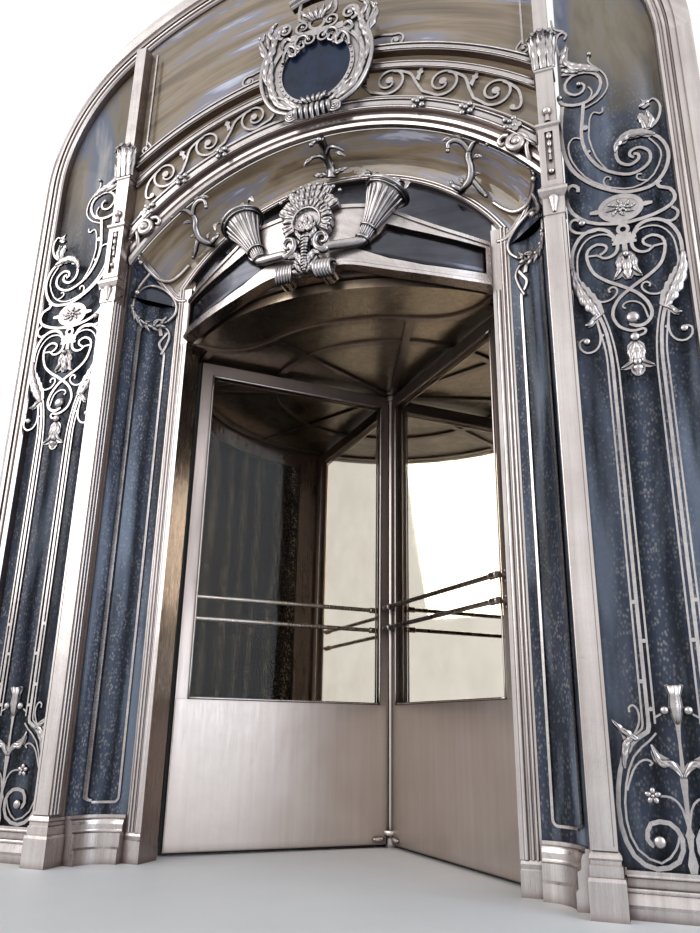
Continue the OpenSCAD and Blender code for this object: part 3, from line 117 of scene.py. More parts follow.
WARM_WHITE, COOL_WHITE, LOBBY_GLOW = (1.0, 0.98, 0.96), (0.78, 0.87, 1.0), (1.0, 0.88, 0.72)
lamp("key lamp", (-4.2, -5.6, 4.2), (0, -0.6, 1.8), (6.0, 5.0), 265, WARM_WHITE)
lamp("side lamp", (4.8, -3.2, 2.6), (0, -0.6, 1.6), (3.4, 4.4), 165, COOL_WHITE)
lamp("lobby lamp", (0.6, 4.0, 2.8), (0, 0, 1.4), (3.4, 2.4), 150, LOBBY_GLOW)

# %% [markdown]
# A material is a small net of nodes. Two helpers keep the nets readable: one adds a node and wires
# its inputs in the same call, the other starts a material with its shader and the object's own
# coordinates. These are in metres here, so a noise scale means so many to the metre. The short
# helpers after them each stand for a node that many finishes need.

# %% Helpers for materials
def add(tree, kind, inputs=None, **settings):
    new = tree.nodes.new("ShaderNode" + kind)
    for key, value in settings.items():
        setattr(new, key, value)
    for key, value in (inputs or {}).items():
        if isinstance(value, bpy.types.NodeSocket):
            tree.links.new(value, new.inputs[key])
        else:
            new.inputs[key].default_value = value
    return new


def start_material(name, **sockets):
    made = bpy.data.materials.new(name)
    made.use_nodes = True
    tree = made.node_tree
    shader = tree.nodes["Principled BSDF"]
    for key, value in sockets.items():
        shader.inputs[key.replace("_", " ")].default_value = value
    place = add(tree, "TexCoord").outputs["Object"]
    return made, tree, shader, place


def stretched(tree, place, scale):
    return add(tree, "VectorMath", {0: place, 1: scale}, operation="MULTIPLY").outputs[0]


def noise_of(tree, vector, scale, detail=3.0, rough=0.5, distort=0.0):
    return add(tree, "TexNoise", {"Vector": vector, "Scale": scale, "Detail": detail,
                                  "Roughness": rough, "Distortion": distort}).outputs["Fac"]


def span(tree, value, low, high, new_low=0.0, new_high=1.0):
    return add(tree, "MapRange", {"Value": value, "From Min": low, "From Max": high,
                                  "To Min": new_low, "To Max": new_high}).outputs["Result"]


def ramp(tree, value, stops):
    new = add(tree, "ValToRGB", {"Fac": value})
    band = new.color_ramp
    while len(band.elements) < len(stops):
        band.elements.new(0.5)
    for element, (at, colour) in zip(band.elements, stops):
        element.position = at
        element.color = (*colour, 1)
    return new.outputs["Color"]


def mixed(tree, share, first, second):
    new = add(tree, "Mix", data_type="RGBA")
    for socket, value in zip((new.inputs[0], new.inputs[6], new.inputs[7]), (share, first, second)):
        if isinstance(value, bpy.types.NodeSocket):
            tree.links.new(value, socket)
        else:
            socket.default_value = value if isinstance(value, float) else (*value, 1)
    return new.outputs[2]


def maths(tree, operation, first, second=0.0, clamp=False):
    return add(tree, "Math", {0: first, 1: second}, operation=operation, use_clamp=clamp).outputs[0]


def painted(tree, shader, colour, rough=None):
    tree.links.new(colour, shader.inputs["Base Color"])
    if rough is not None:
        tree.links.new(rough, shader.inputs["Roughness"])


def bumped(tree, shader, heights):
    normal = None
    for height, strength, distance in heights:
        inputs = {"Height": height, "Strength": strength, "Distance": distance}
        if normal is not None:
            inputs["Normal"] = normal
        normal = add(tree, "Bump", inputs).outputs["Normal"]
    tree.links.new(normal, shader.inputs["Normal"])


# %% [markdown]
# The frame is cast and drawn bronze, polished by many hands: champagne with a pink cast, darker
# and browner in every groove, partly patina and partly painted shade. Three things make it up: slow
# patches of tone, a fine grain that runs along each piece, and ambient occlusion, which finds the
# grooves. Straight pieces have their grain along Z. Curved ones need it along the arch, so there
# the coordinates turn into radius and angle.
# Faces that turn away from the street, and faces that look down, are darkened with painted shade,
# and the wings' frames grow darker above the kick panels.

# %% Bronze
CHAMPAGNE = (0.78, 0.735, 0.715)
ROSE = (0.64, 0.575, 0.56)
BROWN = (0.13, 0.085, 0.07)


def arch_grain(tree, place, centre_z, pull):
    parts = add(tree, "SeparateXYZ", {0: place}).outputs
    rise = maths(tree, "SUBTRACT", parts[2], centre_z)
    squares = maths(tree, "ADD", maths(tree, "MULTIPLY", parts[0], parts[0]),
                    maths(tree, "MULTIPLY", rise, rise))
    reach = maths(tree, "SQRT", squares)
    angle = maths(tree, "ARCTAN2", parts[0], rise)
    return add(tree, "CombineXYZ", {0: reach, 1: parts[1],
                                    2: maths(tree, "MULTIPLY", angle, pull)}).outputs[0]


def bronze(name, grain="up", centre_z=0.0, tones=(ROSE, CHAMPAGNE), dark=BROWN, shine=0.24,
           groove=0.03, wear=1.0, sides=0.62, bright_below=None, streak=0.35):
    made, tree, shader, place = start_material(name, Metallic=1.0)
    if grain == "arch":
        along = arch_grain(tree, place, centre_z, 0.05)
    else:
        pull = {"up": (1, 1, 0.03), "across": (0.03, 0.03, 1), "even": (1, 1, 1)}[grain]
        along = stretched(tree, place, pull)
    patches = noise_of(tree, place, 2.6, 5, 0.62)
    fine = noise_of(tree, along, 260, 3, 0.6)
    streaks = noise_of(tree, along, 38, 4, 0.6)
    open_share = add(tree, "AmbientOcclusion", {"Distance": groove}, samples=6).outputs["AO"]
    tone = mixed(tree, span(tree, patches, 0.3, 0.7), tones[0], tones[1])
    # Painted shade: side faces and faces that look down are mixed towards the dark colour.
    turned = add(tree, "SeparateXYZ", {0: add(tree, "TexCoord").outputs["Normal"]}).outputs
    frontal = maths(tree, "ABSOLUTE", turned[1])
    below = span(tree, turned[2], -0.9, -0.2, 0.25, 0.0)
    shaded = maths(tree, "ADD", span(tree, frontal, 0.15, 0.88, sides, 0.0), below, clamp=True)
    tone = mixed(tree, shaded, tone, dark)
    tone = mixed(tree, span(tree, streaks, 0.35, 0.8, 0.0, streak), tone, dark)
    if bright_below:
        height = add(tree, "SeparateXYZ", {0: place}).outputs[2]
        tone = mixed(tree, span(tree, height, bright_below, bright_below + 0.5, 0.0, 0.6), tone,
                     dark)
    spots = noise_of(tree, place, 21, 6, 0.7)
    # Ambient occlusion darkens the grooves, partly patina and partly painted shade; the spots are
    # wear.
    grime_and_groove_shade = maths(tree, "ADD", span(tree, open_share, 0.35, 0.95, 0.86, 0.0),
                  span(tree, spots, 0.6, 0.8, 0.0, 0.24 * wear), clamp=True)
    rough = maths(tree, "ADD", span(tree, fine, 0.3, 0.7, shine - 0.04, shine + 0.08),
                  maths(tree, "MULTIPLY", grime_and_groove_shade, 0.3))
    rough = maths(tree, "ADD", rough, span(tree, patches, 0.35, 0.7, -0.04, 0.07))
    painted(tree, shader, mixed(tree, grime_and_groove_shade, tone, dark), rough)
    waves = noise_of(tree, place, 14, 2, 0.5)
    bumped(tree, shader, [(waves, 0.22, 0.004), (fine, 0.05, 0.001), (spots, 0.06, 0.001)])
    return made


ARCH_CENTRE, KICK_TOP = 2.1, 0.62
finish = {
    "bronze": bronze("polished bronze"),
    "arch": bronze("polished bronze, curved", "arch", centre_z=ARCH_CENTRE),
    "cast": bronze("cast bronze", "even", tones=((0.46, 0.42, 0.42), (0.70, 0.66, 0.65)),
                   dark=(0.06, 0.05, 0.055), groove=0.034, shine=0.24, wear=1.6, sides=0.72),
    "brushed": bronze("brushed bronze", "up", tones=((0.56, 0.485, 0.44), (0.64, 0.575, 0.535)),
                      shine=0.36, groove=0.05, wear=0.5, sides=0.0, bright_below=KICK_TOP,
                      streak=0.14),
    "inside": bronze("dark inside bronze", "up", tones=((0.33, 0.25, 0.205), (0.44, 0.35, 0.30)),
                     dark=(0.055, 0.036, 0.028), shine=0.26, sides=0.2),
    "ceiling": bronze("dark ceiling", "even", tones=((0.35, 0.275, 0.20), (0.48, 0.39, 0.295)),
                      dark=(0.05, 0.036, 0.026), shine=0.24, groove=0.06, sides=0.0),
    "inlay": bronze("dark inlay and painted shade", "across", tones=((0.055, 0.058, 0.072), (0.12, 0.12, 0.14)),
                    dark=(0.02, 0.018, 0.02), shine=0.16, groove=0.02, sides=0.3),
}
print("bronzes:", len(finish))

# %% [markdown]
# The glass comes in three kinds. The wings are plain clear panes. The lunette and the transom are
# smoky, with long bands of cream, brown and lilac and a pale streak that run with the arch: painted
# reflections, coloured by a noise in radius and angle. The tall fixed panes have net curtain hung
# close behind them, so the pane and curtain are painted as one: a coated dark ground, with folds
# that run down in painted light and shade, painted pale blue glints, and a lace of small flowers
# that
# Voronoi cells give. Higher up, the tall panes fade into painted reflections of cream and brown. A
# low index of refraction keeps the white room from washing out the dark glass where it is seen at a
# flat angle.

# %% Glass
def pane(name, tint, smoke, seen_through, ior):
    made, tree, shader, place = start_material(name, IOR=ior, Transmission_Weight=seen_through)
    clouds = noise_of(tree, place, 3.0, 4, 0.6)
    wipes = noise_of(tree, stretched(tree, place, (1, 1, 0.25)), 9, 5, 0.65, 0.8)
    painted(tree, shader, mixed(tree, span(tree, clouds, 0.3, 0.75), tint, smoke),
            span(tree, wipes, 0.35, 0.8, 0.015, 0.09))
    bumped(tree, shader, [(noise_of(tree, place, 2.2, 2), 0.12, 0.01)])
    return made


def curtained(name, ground, thread, folds, coat=0.5, ior=1.3, pale_above=None, glint=0.5, hang=-1):
    made, tree, shader, place = start_material(name, IOR=ior, Coat_Weight=coat, Coat_Roughness=0.03,
                                               Coat_IOR=1.25)
    shader.inputs["Specular IOR Level"].default_value = 0.2
    parts = add(tree, "SeparateXYZ", {0: place}).outputs
    across = maths(tree, "ADD", parts[0], maths(tree, "MULTIPLY", parts[1], 0.8))
    drift = noise_of(tree, stretched(tree, place, (1, 1, 0.3)), 3.1, 3)
    fold = maths(tree, "SINE", maths(tree, "ADD", maths(tree, "MULTIPLY", across, folds),
                                     maths(tree, "MULTIPLY", drift, 9)))
    lace_place = stretched(tree, place, (1, 1, 0.62))
    cells = add(tree, "TexVoronoi", {"Vector": lace_place, "Scale": 105.0, "Randomness": 0.85})
    petals = span(tree, cells.outputs["Distance"], 0.14, 0.52, 1.0, 0.0)
    sprays = span(tree, noise_of(tree, lace_place, 26, 5, 0.75), 0.40, 0.54)
    mesh_lines = span(tree, noise_of(tree, stretched(tree, place, (1, 1, 0.2)), 420, 1), 0.3, 0.7,
                      0.55, 1.0)
    lace = maths(tree, "MULTIPLY", maths(tree, "MULTIPLY", petals, sprays), mesh_lines)
    # The folds are painted light and shade: the ground turns lighter and darker across them and the
    # lace dims on their dark side.
    lace = maths(tree, "MULTIPLY", lace, span(tree, fold, hang, 1, 0.2, 1.0))
    shaded = mixed(tree, span(tree, fold, -1, 1, 0.0, 0.8), ground[0], ground[1])
    tone = mixed(tree, lace, shaded, thread)
    # Painted glints: pale blue streaks that stand in for reflections.
    glints = noise_of(tree, stretched(tree, place, (1, 1, 0.12)), 9, 3, 0.5)
    tone = mixed(tree, span(tree, glints, 0.54, 0.70, 0.0, glint), tone, (0.36, 0.42, 0.53))
    # Painted reflections: above the given height the pane turns to cream and brown streaks.
    if pale_above:
        sheen = ramp(tree, noise_of(tree, stretched(tree, place, (1, 1, 0.35)), 3.4, 5, 0.6, 0.6),
                     [(0.34, (0.10, 0.085, 0.07)), (0.48, (0.24, 0.20, 0.15)),
                      (0.56, (0.16, 0.18, 0.24)), (0.66, (0.42, 0.40, 0.38))])
        tone = mixed(tree, span(tree, parts[2], pale_above, pale_above + 0.45), tone, sheen)
    painted(tree, shader, tone, span(tree, lace, 0, 1, 0.35, 0.7))
    bumped(tree, shader, [(noise_of(tree, place, 1.8, 2), 0.06, 0.01)])
    return made


# Below the sloping reeds of the corner the transom's glass is as dark as the panel under it
CORNER_X, RAIL_SLOPE = 0.77, 1.2


def streaked(name, centre_z, seen_through):
    made, tree, shader, place = start_material(name, IOR=1.45, Transmission_Weight=seen_through,
                                               Coat_Weight=0.6, Coat_Roughness=0.02)
    shader.inputs["Specular IOR Level"].default_value = 0.25
    along = arch_grain(tree, place, centre_z, 0.16)
    # The bands and the pale streak are painted reflections.
    bands = noise_of(tree, along, 13, 4, 0.62, 0.5)
    tone = ramp(tree, bands, [(0.28, (0.13, 0.095, 0.07)), (0.42, (0.31, 0.225, 0.145)),
                              (0.54, (0.46, 0.36, 0.25)), (0.62, (0.34, 0.35, 0.50)),
                              (0.68, (0.85, 0.88, 1.0))])
    clouds = noise_of(tree, place, 2.4, 4, 0.6)
    tone = mixed(tree, span(tree, clouds, 0.35, 0.7, 0.0, 0.45), tone, (0.24, 0.20, 0.155))
    parts = add(tree, "SeparateXYZ", {0: place}).outputs
    past_corner = maths(tree, "SUBTRACT", maths(tree, "ABSOLUTE", parts[0]), CORNER_X)
    over_rail = maths(tree, "SUBTRACT", parts[2], maths(tree, "MULTIPLY", past_corner, RAIL_SLOPE))
    tone = mixed(tree, span(tree, over_rail, 2.418, 2.424, 1.0, 0.0), tone, (0.055, 0.068, 0.105))
    painted(tree, shader, tone, span(tree, bands, 0.35, 0.8, 0.03, 0.12))
    bumped(tree, shader, [(noise_of(tree, place, 2.2, 2), 0.12, 0.01)])
    return made


BLUE_NET = ((0.016, 0.021, 0.032), (0.085, 0.102, 0.150))
BROWN_NET = ((0.006, 0.004, 0.003), (0.034, 0.022, 0.015))
PALE_THREAD, CREAM_THREAD = (0.42, 0.39, 0.345), (0.62, 0.50, 0.37)
NET_FOLDS, BROWN_FOLDS = 62, 44
PAINTED_REFLECTION_FROM = 2.62

finish["clear"] = pane("clear glass", tint=(0.92, 0.89, 0.83), smoke=(0.80, 0.77, 0.71),
                       seen_through=1.0, ior=1.16)
finish["smoky"] = streaked("streaked arch glass", centre_z=1.9, seen_through=0.42)
finish["lace"] = curtained("glass over net curtain", BLUE_NET, PALE_THREAD, NET_FOLDS)
finish["tall lace"] = curtained("side glass over net curtain", BLUE_NET, PALE_THREAD, NET_FOLDS,
                                pale_above=PAINTED_REFLECTION_FROM)
finish["brown lace"] = curtained("glass over brown curtain", BROWN_NET, CREAM_THREAD, BROWN_FOLDS,
                                 coat=0.0, ior=1.08, glint=0.0, hang=-0.2)
print("finishes with the glass:", len(finish))

# %% [markdown]
# Two small finishes are left: the black brush seals on the wings' edges and the dark blue enamel of
# the shield. The enamel is glassy over a slightly cloudy colour, the seals are matt and fibrous.

# %% Seals and enamel
def seal_brush():
    made, tree, shader, place = start_material("black brush seal", Roughness=0.85)
    hairs = noise_of(tree, stretched(tree, place, (1, 1, 0.08)), 900, 2)
    painted(tree, shader, ramp(tree, hairs, [(0.3, (0.006, 0.006, 0.006)),
                                             (0.75, (0.045, 0.042, 0.04))]))
    bumped(tree, shader, [(hairs, 0.5, 0.001)])
    return made


def enamel():
    made, tree, shader, place = start_material("blue enamel", Coat_Weight=0.25, Coat_Roughness=0.05)
    shader.inputs["Specular IOR Level"].default_value = 0.2
    cloud = noise_of(tree, place, 9, 5, 0.7)
    painted(tree, shader, ramp(tree, cloud, [(0.3, (0.003, 0.006, 0.018)),
                                             (0.7, (0.010, 0.024, 0.062))]),
            span(tree, cloud, 0.3, 0.7, 0.2, 0.45))
    bumped(tree, shader, [(noise_of(tree, place, 60, 3), 0.08, 0.001)])
    return made


finish["seal"] = seal_brush()
finish["enamel"] = enamel()
print("finishes:", sorted(finish))

# %% [markdown]
# Every piece of the frame keeps its shape and only gets a finish. A table from finish to pieces is
# easier to check than 48 separate lines, and the last line prints any node that the table forgot.

# %% Finishes of the frame
WINGS = range(1, 5)
dressed = {
    "cast": ["floor_pivot", "head_ornament", "scrollwork_left", "scrollwork_right",
             "arch_scrolls", "cartouche_frame", "glass_trim"],
    "bronze": ["centre_post", "cove_bases", "side_bases", "pilaster_left", "pilaster_right",
               "outer_frame_left", "outer_frame_right", "jamb_left", "jamb_right"]
              + [f"push_bars_{n}" for n in WINGS],
    "brushed": [f"wing_frame_{n}" for n in WINGS],
    "arch": ["outer_arch", "arch_band", "round_arch", "inner_arch", "door_head"],
    "inside": ["drum_frame_left", "drum_frame_right", "rear_frame", "head_cornice", "ceiling_ribs"],
    # The head board's dark finish paints the shade of the recess behind the door head.
    "inlay": ["head_board"],
    "ceiling": ["drum_ceiling"],
    "clear": [f"wing_glass_{n}" for n in WINGS],
    "smoky": ["transom_glass", "lunette_glass"],
    "lace": ["cove_glass"],
    "tall lace": ["side_glass"],
    "brown lace": ["drum_glass_left", "drum_glass_right"],
    "seal": ["wing_seals"],
    "enamel": ["cartouche_shield"],
}


def put_finish(obj, made):
    obj.data.materials.clear()
    obj.data.materials.append(made)


for kind, names in dressed.items():
    for name in names:
        put_finish(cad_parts[name], finish[kind])
left_bare = set(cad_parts) - {name for names in dressed.values() for name in names}
print("nodes with no finish:", sorted(left_bare))

# %% [markdown]
# No cast or filed edge is truly sharp: a tiny rounding catches the light as a bright line, and that
# line is what makes a bar read as metal. A bevel modifier adds it without touching the frame's own
# mesh. Weighted normals then let the large faces stay flat and leave the turn to the rounding.

# %% Rounded edges
SHARPER_THAN = radians(38)


def rounded(names, width):
    for name in names:
        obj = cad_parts[name]
        edge = obj.modifiers.new("rounded edges", "BEVEL")
        edge.width = width
        edge.segments = 2
        edge.limit_method = "ANGLE"
        edge.angle_limit = SHARPER_THAN
        obj.data.shade_smooth()
        weigh = obj.modifiers.new("even shading", "WEIGHTED_NORMAL")
        weigh.keep_sharp = True


rounded(["scrollwork_left", "scrollwork_right", "arch_scrolls"], width=0.0022)
rounded(["arch_band", "cartouche_frame", "door_head", "head_cornice"], width=0.0018)
rounded(["pilaster_left", "pilaster_right", "jamb_left", "jamb_right", "side_bases"], width=0.0012)
rounded([f"wing_frame_{n}" for n in WINGS], width=0.0015)
print("nodes with rounded edges:", sum(bool(o.modifiers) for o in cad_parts.values()))

# %% [markdown]
# The cast ornament is carved by code. One loft joins rings of points into a closed skin, and both
# the leaves and the twigs are lofts: a leaf's ring is a low ribbed cushion whose width swells and
# shrinks to make the lobes, a twig's ring is a circle. Working in bmesh lets many leaves share one
# object, which keeps the scene light.

# %% Helpers for carving
STREET = Vector((0, -1, 0))


def smooth_path(points, steps=6):
    points = [Vector(p) for p in points]
    out = []
    for i in range(len(points) - 1):
        a, b = points[max(i - 1, 0)], points[i]
        c, d = points[i + 1], points[min(i + 2, len(points) - 1)]
        for k in range(steps):
            t = k / steps
            out.append(0.5 * (2 * b + (c - a) * t + (2 * a - 5 * b + 4 * c - d) * t ** 2
                              + (3 * b - a - 3 * c + d) * t ** 3))
    return out + [points[-1]]


def sampled(values, share):
    at = share * (len(values) - 1)
    low = min(int(at), len(values) - 2)
    return values[low] + (values[low + 1] - values[low]) * (at - low)


def angles(start, step, count):
    return [radians(start + step * i) for i in range(count)]


def thousandths(values):
    return [v * 0.001 for v in values]


def side_name(side):
    return "left" if side < 0 else "right"


def heading(path, i):
    return (path[min(i + 1, len(path) - 1)] - path[max(i - 1, 0)]).normalized()


def loft(mesh, rings):
    made = [[mesh.verts.new(p) for p in ring] for ring in rings]
    count = len(rings[0])
    for low, high in zip(made, made[1:]):
        for i in range(count):
            mesh.faces.new((low[i], low[(i + 1) % count], high[(i + 1) % count], high[i]))
    mesh.faces.new(made[0][::-1])
    mesh.faces.new(made[-1])


def twig(mesh, points, radii, sides=10, flutes=0):
    path = smooth_path(points)
    side = heading(path, 0).orthogonal().normalized()
    rings = []
    for i, p in enumerate(path):
        along = heading(path, i)
        side = (side - along * side.dot(along)).normalized()
        other = along.cross(side)
        reach = sampled(radii, i / (len(path) - 1))
        rings.append([p + reach * (1 - 0.14 * (k % 2 if flutes else 0))
                      * (cos(2 * pi * k / sides) * side + sin(2 * pi * k / sides) * other)
                      for k in range(sides)])
    loft(mesh, rings)


def leaf(mesh, points, widths, lift, out=STREET, teeth=5, curl=0.0, sink=0.003):
    path = smooth_path(points, 7)
    last = len(path) - 1
    across_steps = 10
    rings = []
    for i, p in enumerate(path):
        u = i / last
        lobe = abs(sin(pi * (teeth * u + 0.15))) ** 0.6
        half = max(sampled(widths, u) * (0.62 + 0.38 * lobe), 0.0008)
        face = out.normalized()
        across = heading(path, i).cross(face).normalized()
        raised = p + face * curl * max(0, (u - 0.6) / 0.4) ** 2
        swell = sin(pi * min(max(u, 0.04), 0.97)) ** 0.5
        top = []
        for k in range(across_steps + 1):
            v = 2 * k / across_steps - 1
            vein = 0.80 + 0.20 * cos(2 * pi * (teeth * u - 1.1 * abs(v)))
            rib = 0.24 * max(0, 1 - abs(v) / 0.3)
            height = lift * swell * ((1 - v * v) ** 0.7 * vein - rib)
            top.append(raised + across * half * v + face * height)
        low = [raised + across * half * v - face * sink for v in (0.9, -0.9)]
        rings.append(top + low)
    loft(mesh, rings)


def ball(mesh, centre, size, out=STREET):
    if isinstance(size, (int, float)):
        size = (size, size, size)
    turned = out.to_track_quat("Z", "Y").to_matrix().to_4x4()
    shape = Matrix.Translation(Vector(centre)) @ turned @ Matrix.Diagonal((*size, 1))
    bmesh.ops.create_uvsphere(mesh, u_segments=16, v_segments=10, radius=1, matrix=shape)


def flower(mesh, centre, reach, petals=5):
    turned = STREET.to_track_quat("Z", "Y").to_matrix()
    for k in range(petals):
        a = 2 * pi * k / petals + 0.3
        place = Vector(centre) + turned @ Vector((cos(a), sin(a), 0.12)) * reach * 0.56
        petal = Matrix.Rotation(a, 4, "Z")
        shape = (Matrix.Translation(place) @ turned.to_4x4() @ petal
                 @ Matrix.Diagonal((reach * 0.46, reach * 0.34, reach * 0.26, 1)))
        bmesh.ops.create_uvsphere(mesh, u_segments=12, v_segments=8, radius=1, matrix=shape)
    ball(mesh, Vector(centre) + STREET * reach * 0.28, reach * 0.24)


def turned_drop(mesh, foot, axis, profile, ribs=0, sides=24):
    axis = Vector(axis).normalized()
    side = axis.cross(STREET).normalized()
    other = axis.cross(side)
    rings = []
    for reach, rise in profile:
        rings.append([Vector(foot) + axis * rise
                      + (reach * (1 + (0.09 * cos(ribs * 2 * pi * k / sides) if ribs else 0)))
                      * (cos(2 * pi * k / sides) * side + sin(2 * pi * k / sides) * other)
                      for k in range(sides)])
    loft(mesh, rings)


def make_piece(name, mesh, kind, body="entrance"):
    bmesh.ops.recalc_face_normals(mesh, faces=mesh.faces[:])
    data = bpy.data.meshes.new(name)
    mesh.to_mesh(data)
    mesh.free()
    for face in data.polygons:
        face.use_smooth = True
    obj = bpy.data.objects.new(name, data)
    scene.collection.objects.link(obj)
    put_finish(obj, finish[kind])
    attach(obj, body)
    print(name, "faces:", len(data.polygons))
    return obj


# %% [markdown]
# The flat bars of the side scrolls come from the frame. What they lack is the foliage cast onto
# them: long acanthus sleeves beside the crossing, a bell flower in it, a pendant below it, leaves
# over the upper volutes and buds at the foot. Points are written in millimetres from the panel's
# middle line, because that is how such a panel is set out, and one function turns them to metres.

# %% Foliage of the side scrolls
panel_middle, scroll_face = 1.227, -1.129
foot_level, crossing_level = 0.128, 1.989

# Leaves as points, half widths, lift, lobes and curl. Paired ones are repeated on the other hand
PAIRED_AT_CROSSING = (
    ([(193, 118), (186, 52), (162, -10), (136, -56), (112, -94)], [7, 19, 25, 23, 7], 17, 6, 0),
    ([(112, -84), (132, -98), (148, -116), (164, -122)], [6, 11, 9, 2], 9, 2, 0.01),
    ([(8, 152), (26, 116), (28, 84), (46, 50)], [6, 15, 13, 3], 12, 3, 0.008),
    ([(6, -214), (20, -244), (20, -280), (54, -304)], [6, 13, 10, 3], 11, 3, 0.006))
PAIRED_AT_FOOT = (
    ([(118, 352), (140, 366), (166, 384), (190, 408)], [6, 13, 12, 3], 11, 3, 0.01),
    ([(164, 270), (160, 310), (150, 345), (126, 362)], [4, 13, 14, 5], 10, 4, 0),
    ([(2, 250), (30, 286), (60, 290), (82, 340)], [5, 14, 13, 3], 11, 4, 0))
SINGLE_LEAVES = (
    ([(0, 158), (0, 112), (0, 70), (0, 40)], [7, 26, 20, 8], 17, 3, 0),
    ([(0, -208), (0, -244), (0, -282), (0, -300)], [8, 22, 17, 10], 16, 3, 0),
    ([(152, 634), (104, 654), (52, 654), (12, 622), (2, 588)], [5, 20, 22, 15, 3], 14, 6, 0),
    ([(118, 668), (112, 700), (98, 724)], [7, 12, 3], 9, 2, 0.008),
    ([(132, 668), (146, 704), (132, 742)], [7, 13, 3], 9, 3, 0.01),
    ([(146, 792), (124, 782), (106, 766)], [6, 10, 2], 8, 2, 0.008),
    ([(-26, 988), (-70, 1018), (-122, 1040), (-166, 1092)], [5, 20, 24, 8], 14, 5, 0),
    ([(-172, 1070), (-160, 1110), (-142, 1150)], [6, 13, 3], 10, 3, 0.01),
    ([(-176, 1040), (-140, 1024), (-106, 1006)], [6, 15, 3], 10, 3, 0.006))
MEDALLION_Z, MEDALLION_RAYS = 341, 8


def on_panel(side, level, x, z, out=0.0):
    return Vector((side * (panel_middle + x * 0.0009735), scroll_face - out, level + z * 0.001))


def side_foliage(side):
    mesh = bmesh.new()

    def lay(level, rows, hand=1):
        for points, widths, lift, teeth, curl in rows:
            leaf(mesh, [on_panel(side, level, hand * x, z) for x, z in points],
                 thousandths(widths), lift * 0.001, teeth=teeth, curl=curl)

    for hand in (-1, 1):
        lay(crossing_level, PAIRED_AT_CROSSING, hand)
        lay(foot_level, PAIRED_AT_FOOT, hand)
        flower(mesh, on_panel(side, foot_level, hand * 91, 199, 0.002), 0.024)
        ball(mesh, on_panel(side, foot_level, hand * 84, 77, 0.001), (0.018, 0.018, 0.011))
        ball(mesh, on_panel(side, foot_level, hand * 34, 436, 0.002), (0.014, 0.014, 0.012))
        ball(mesh, on_panel(side, crossing_level, hand * 164, -182), (0.013, 0.013, 0.009))
    lay(crossing_level, SINGLE_LEAVES)
    ball(mesh, on_panel(side, crossing_level, 0, 136, 0.012), 0.012)
    turned_drop(mesh, on_panel(side, crossing_level, 0, -296, -0.006), (0, 0, -1),
                [(0.012, 0), (0.022, 0.008), (0.019, 0.018), (0.010, 0.027), (0.011, 0.032),
                 (0.002, 0.042)])
    ball(mesh, on_panel(side, crossing_level, 0, -190, 0.002), (0.017, 0.017, 0.012))
    ball(mesh, on_panel(side, crossing_level, 0, -112), (0.023, 0.023, 0.013))
    turned_drop(mesh, on_panel(side, foot_level, 0, 396, -0.006), (0, 0, 1),
                [(0.007, 0), (0.015, 0.024), (0.020, 0.05), (0.017, 0.082), (0.027, 0.11),
                 (0.017, 0.113), (0.013, 0.108), (0.003, 0.112)], ribs=8, sides=32)
    for x, z, r in ((-144, 307, 14), (-186, 903, 11), (-108, 948, 10), (-56, 1084, 9)):
        ball(mesh, on_panel(side, crossing_level, x, z), (r * 0.001, r * 0.001, 0.010))
    for k in range(MEDALLION_RAYS):
        a = 2 * pi * k / MEDALLION_RAYS
        ray = [(12 * cos(a), MEDALLION_Z + 9 * sin(a)), (34 * cos(a), MEDALLION_Z + 22 * sin(a)),
               (56 * cos(a + 0.2), MEDALLION_Z + 36 * sin(a + 0.2))]
        lay(crossing_level, ((ray, [3, 9, 2], 7, 3, 0),))
    flower(mesh, on_panel(side, crossing_level, 0, MEDALLION_Z, 0.002), 0.018, 6)
    return make_piece(f"side_foliage_{side_name(side)}", mesh, "cast")


for side in (-1, 1):
    side_foliage(side)

# %% [markdown]
# Each pilaster ends in a small capital of upright acanthus leaves whose tips fall forward, with a
# husk drop in the sunk panel below. Three broad leaves stand in front and two show at the corners.

# %% Capitals
def capital_leaves(side):
    mesh = bmesh.new()
    middle, face, low, high = 0.996, -1.173, 3.0, 3.2
    for x, start, wide, fall in ((-0.027, 0.010, 0.017, 0.020), (0.027, 0.010, 0.017, 0.020),
                                 (0.0, 0.014, 0.021, 0.028)):
        points = [(side * (middle + x), face - 0.004, low + 0.014),
                  (side * (middle + x), face - start, low + 0.09),
                  (side * (middle + x * 1.08), face - start - 0.006, high - 0.045),
                  (side * (middle + x * 1.15), face - start - fall, high - 0.022),
                  (side * (middle + x * 1.15), face - start - fall - 0.012, high - 0.045)]
        leaf(mesh, points, [wide * 0.55, wide, wide * 1.05, wide * 0.9, 0.004], 0.009, teeth=5)
    for x in (-0.038, 0.038):
        points = [(side * (middle + x), face + 0.004, low + 0.02),
                  (side * (middle + x * 1.1), face + 0.002, low + 0.10),
                  (side * (middle + x * 1.35), face - 0.010, high - 0.03),
                  (side * (middle + x * 1.5), face - 0.022, high - 0.045)]
        leaf(mesh, points, [0.009, 0.013, 0.012, 0.003], 0.007, out=Vector((side * x * 20, -1, 0)),
             teeth=4)
    drop_level = 2.745 - 0.06
    for k in range(3):
        ball(mesh, (side * middle, face - 0.002, drop_level - 0.036 * k),
             (0.011 - 0.002 * k, 0.017, 0.008))
    return make_piece(f"capital_leaves_{side_name(side)}", mesh, "cast")


for side in (-1, 1):
    capital_leaves(side)

# %% [markdown]
# Over the middle of the doorway sits a shell between two horns of plenty. The frame gives their
# layered forms, and this step rounds them off: a round rib along every ray of the shell, curled
# acanthus beside the console, flutes on the horns and fruit with leaves that spill out of them.
# The door head bows towards the street, so one function gives its face at any distance x.

# %% Shell and horns of plenty
head_centre_y, head_radius = 0.0756, 1.2508
shell_level = 2.5045


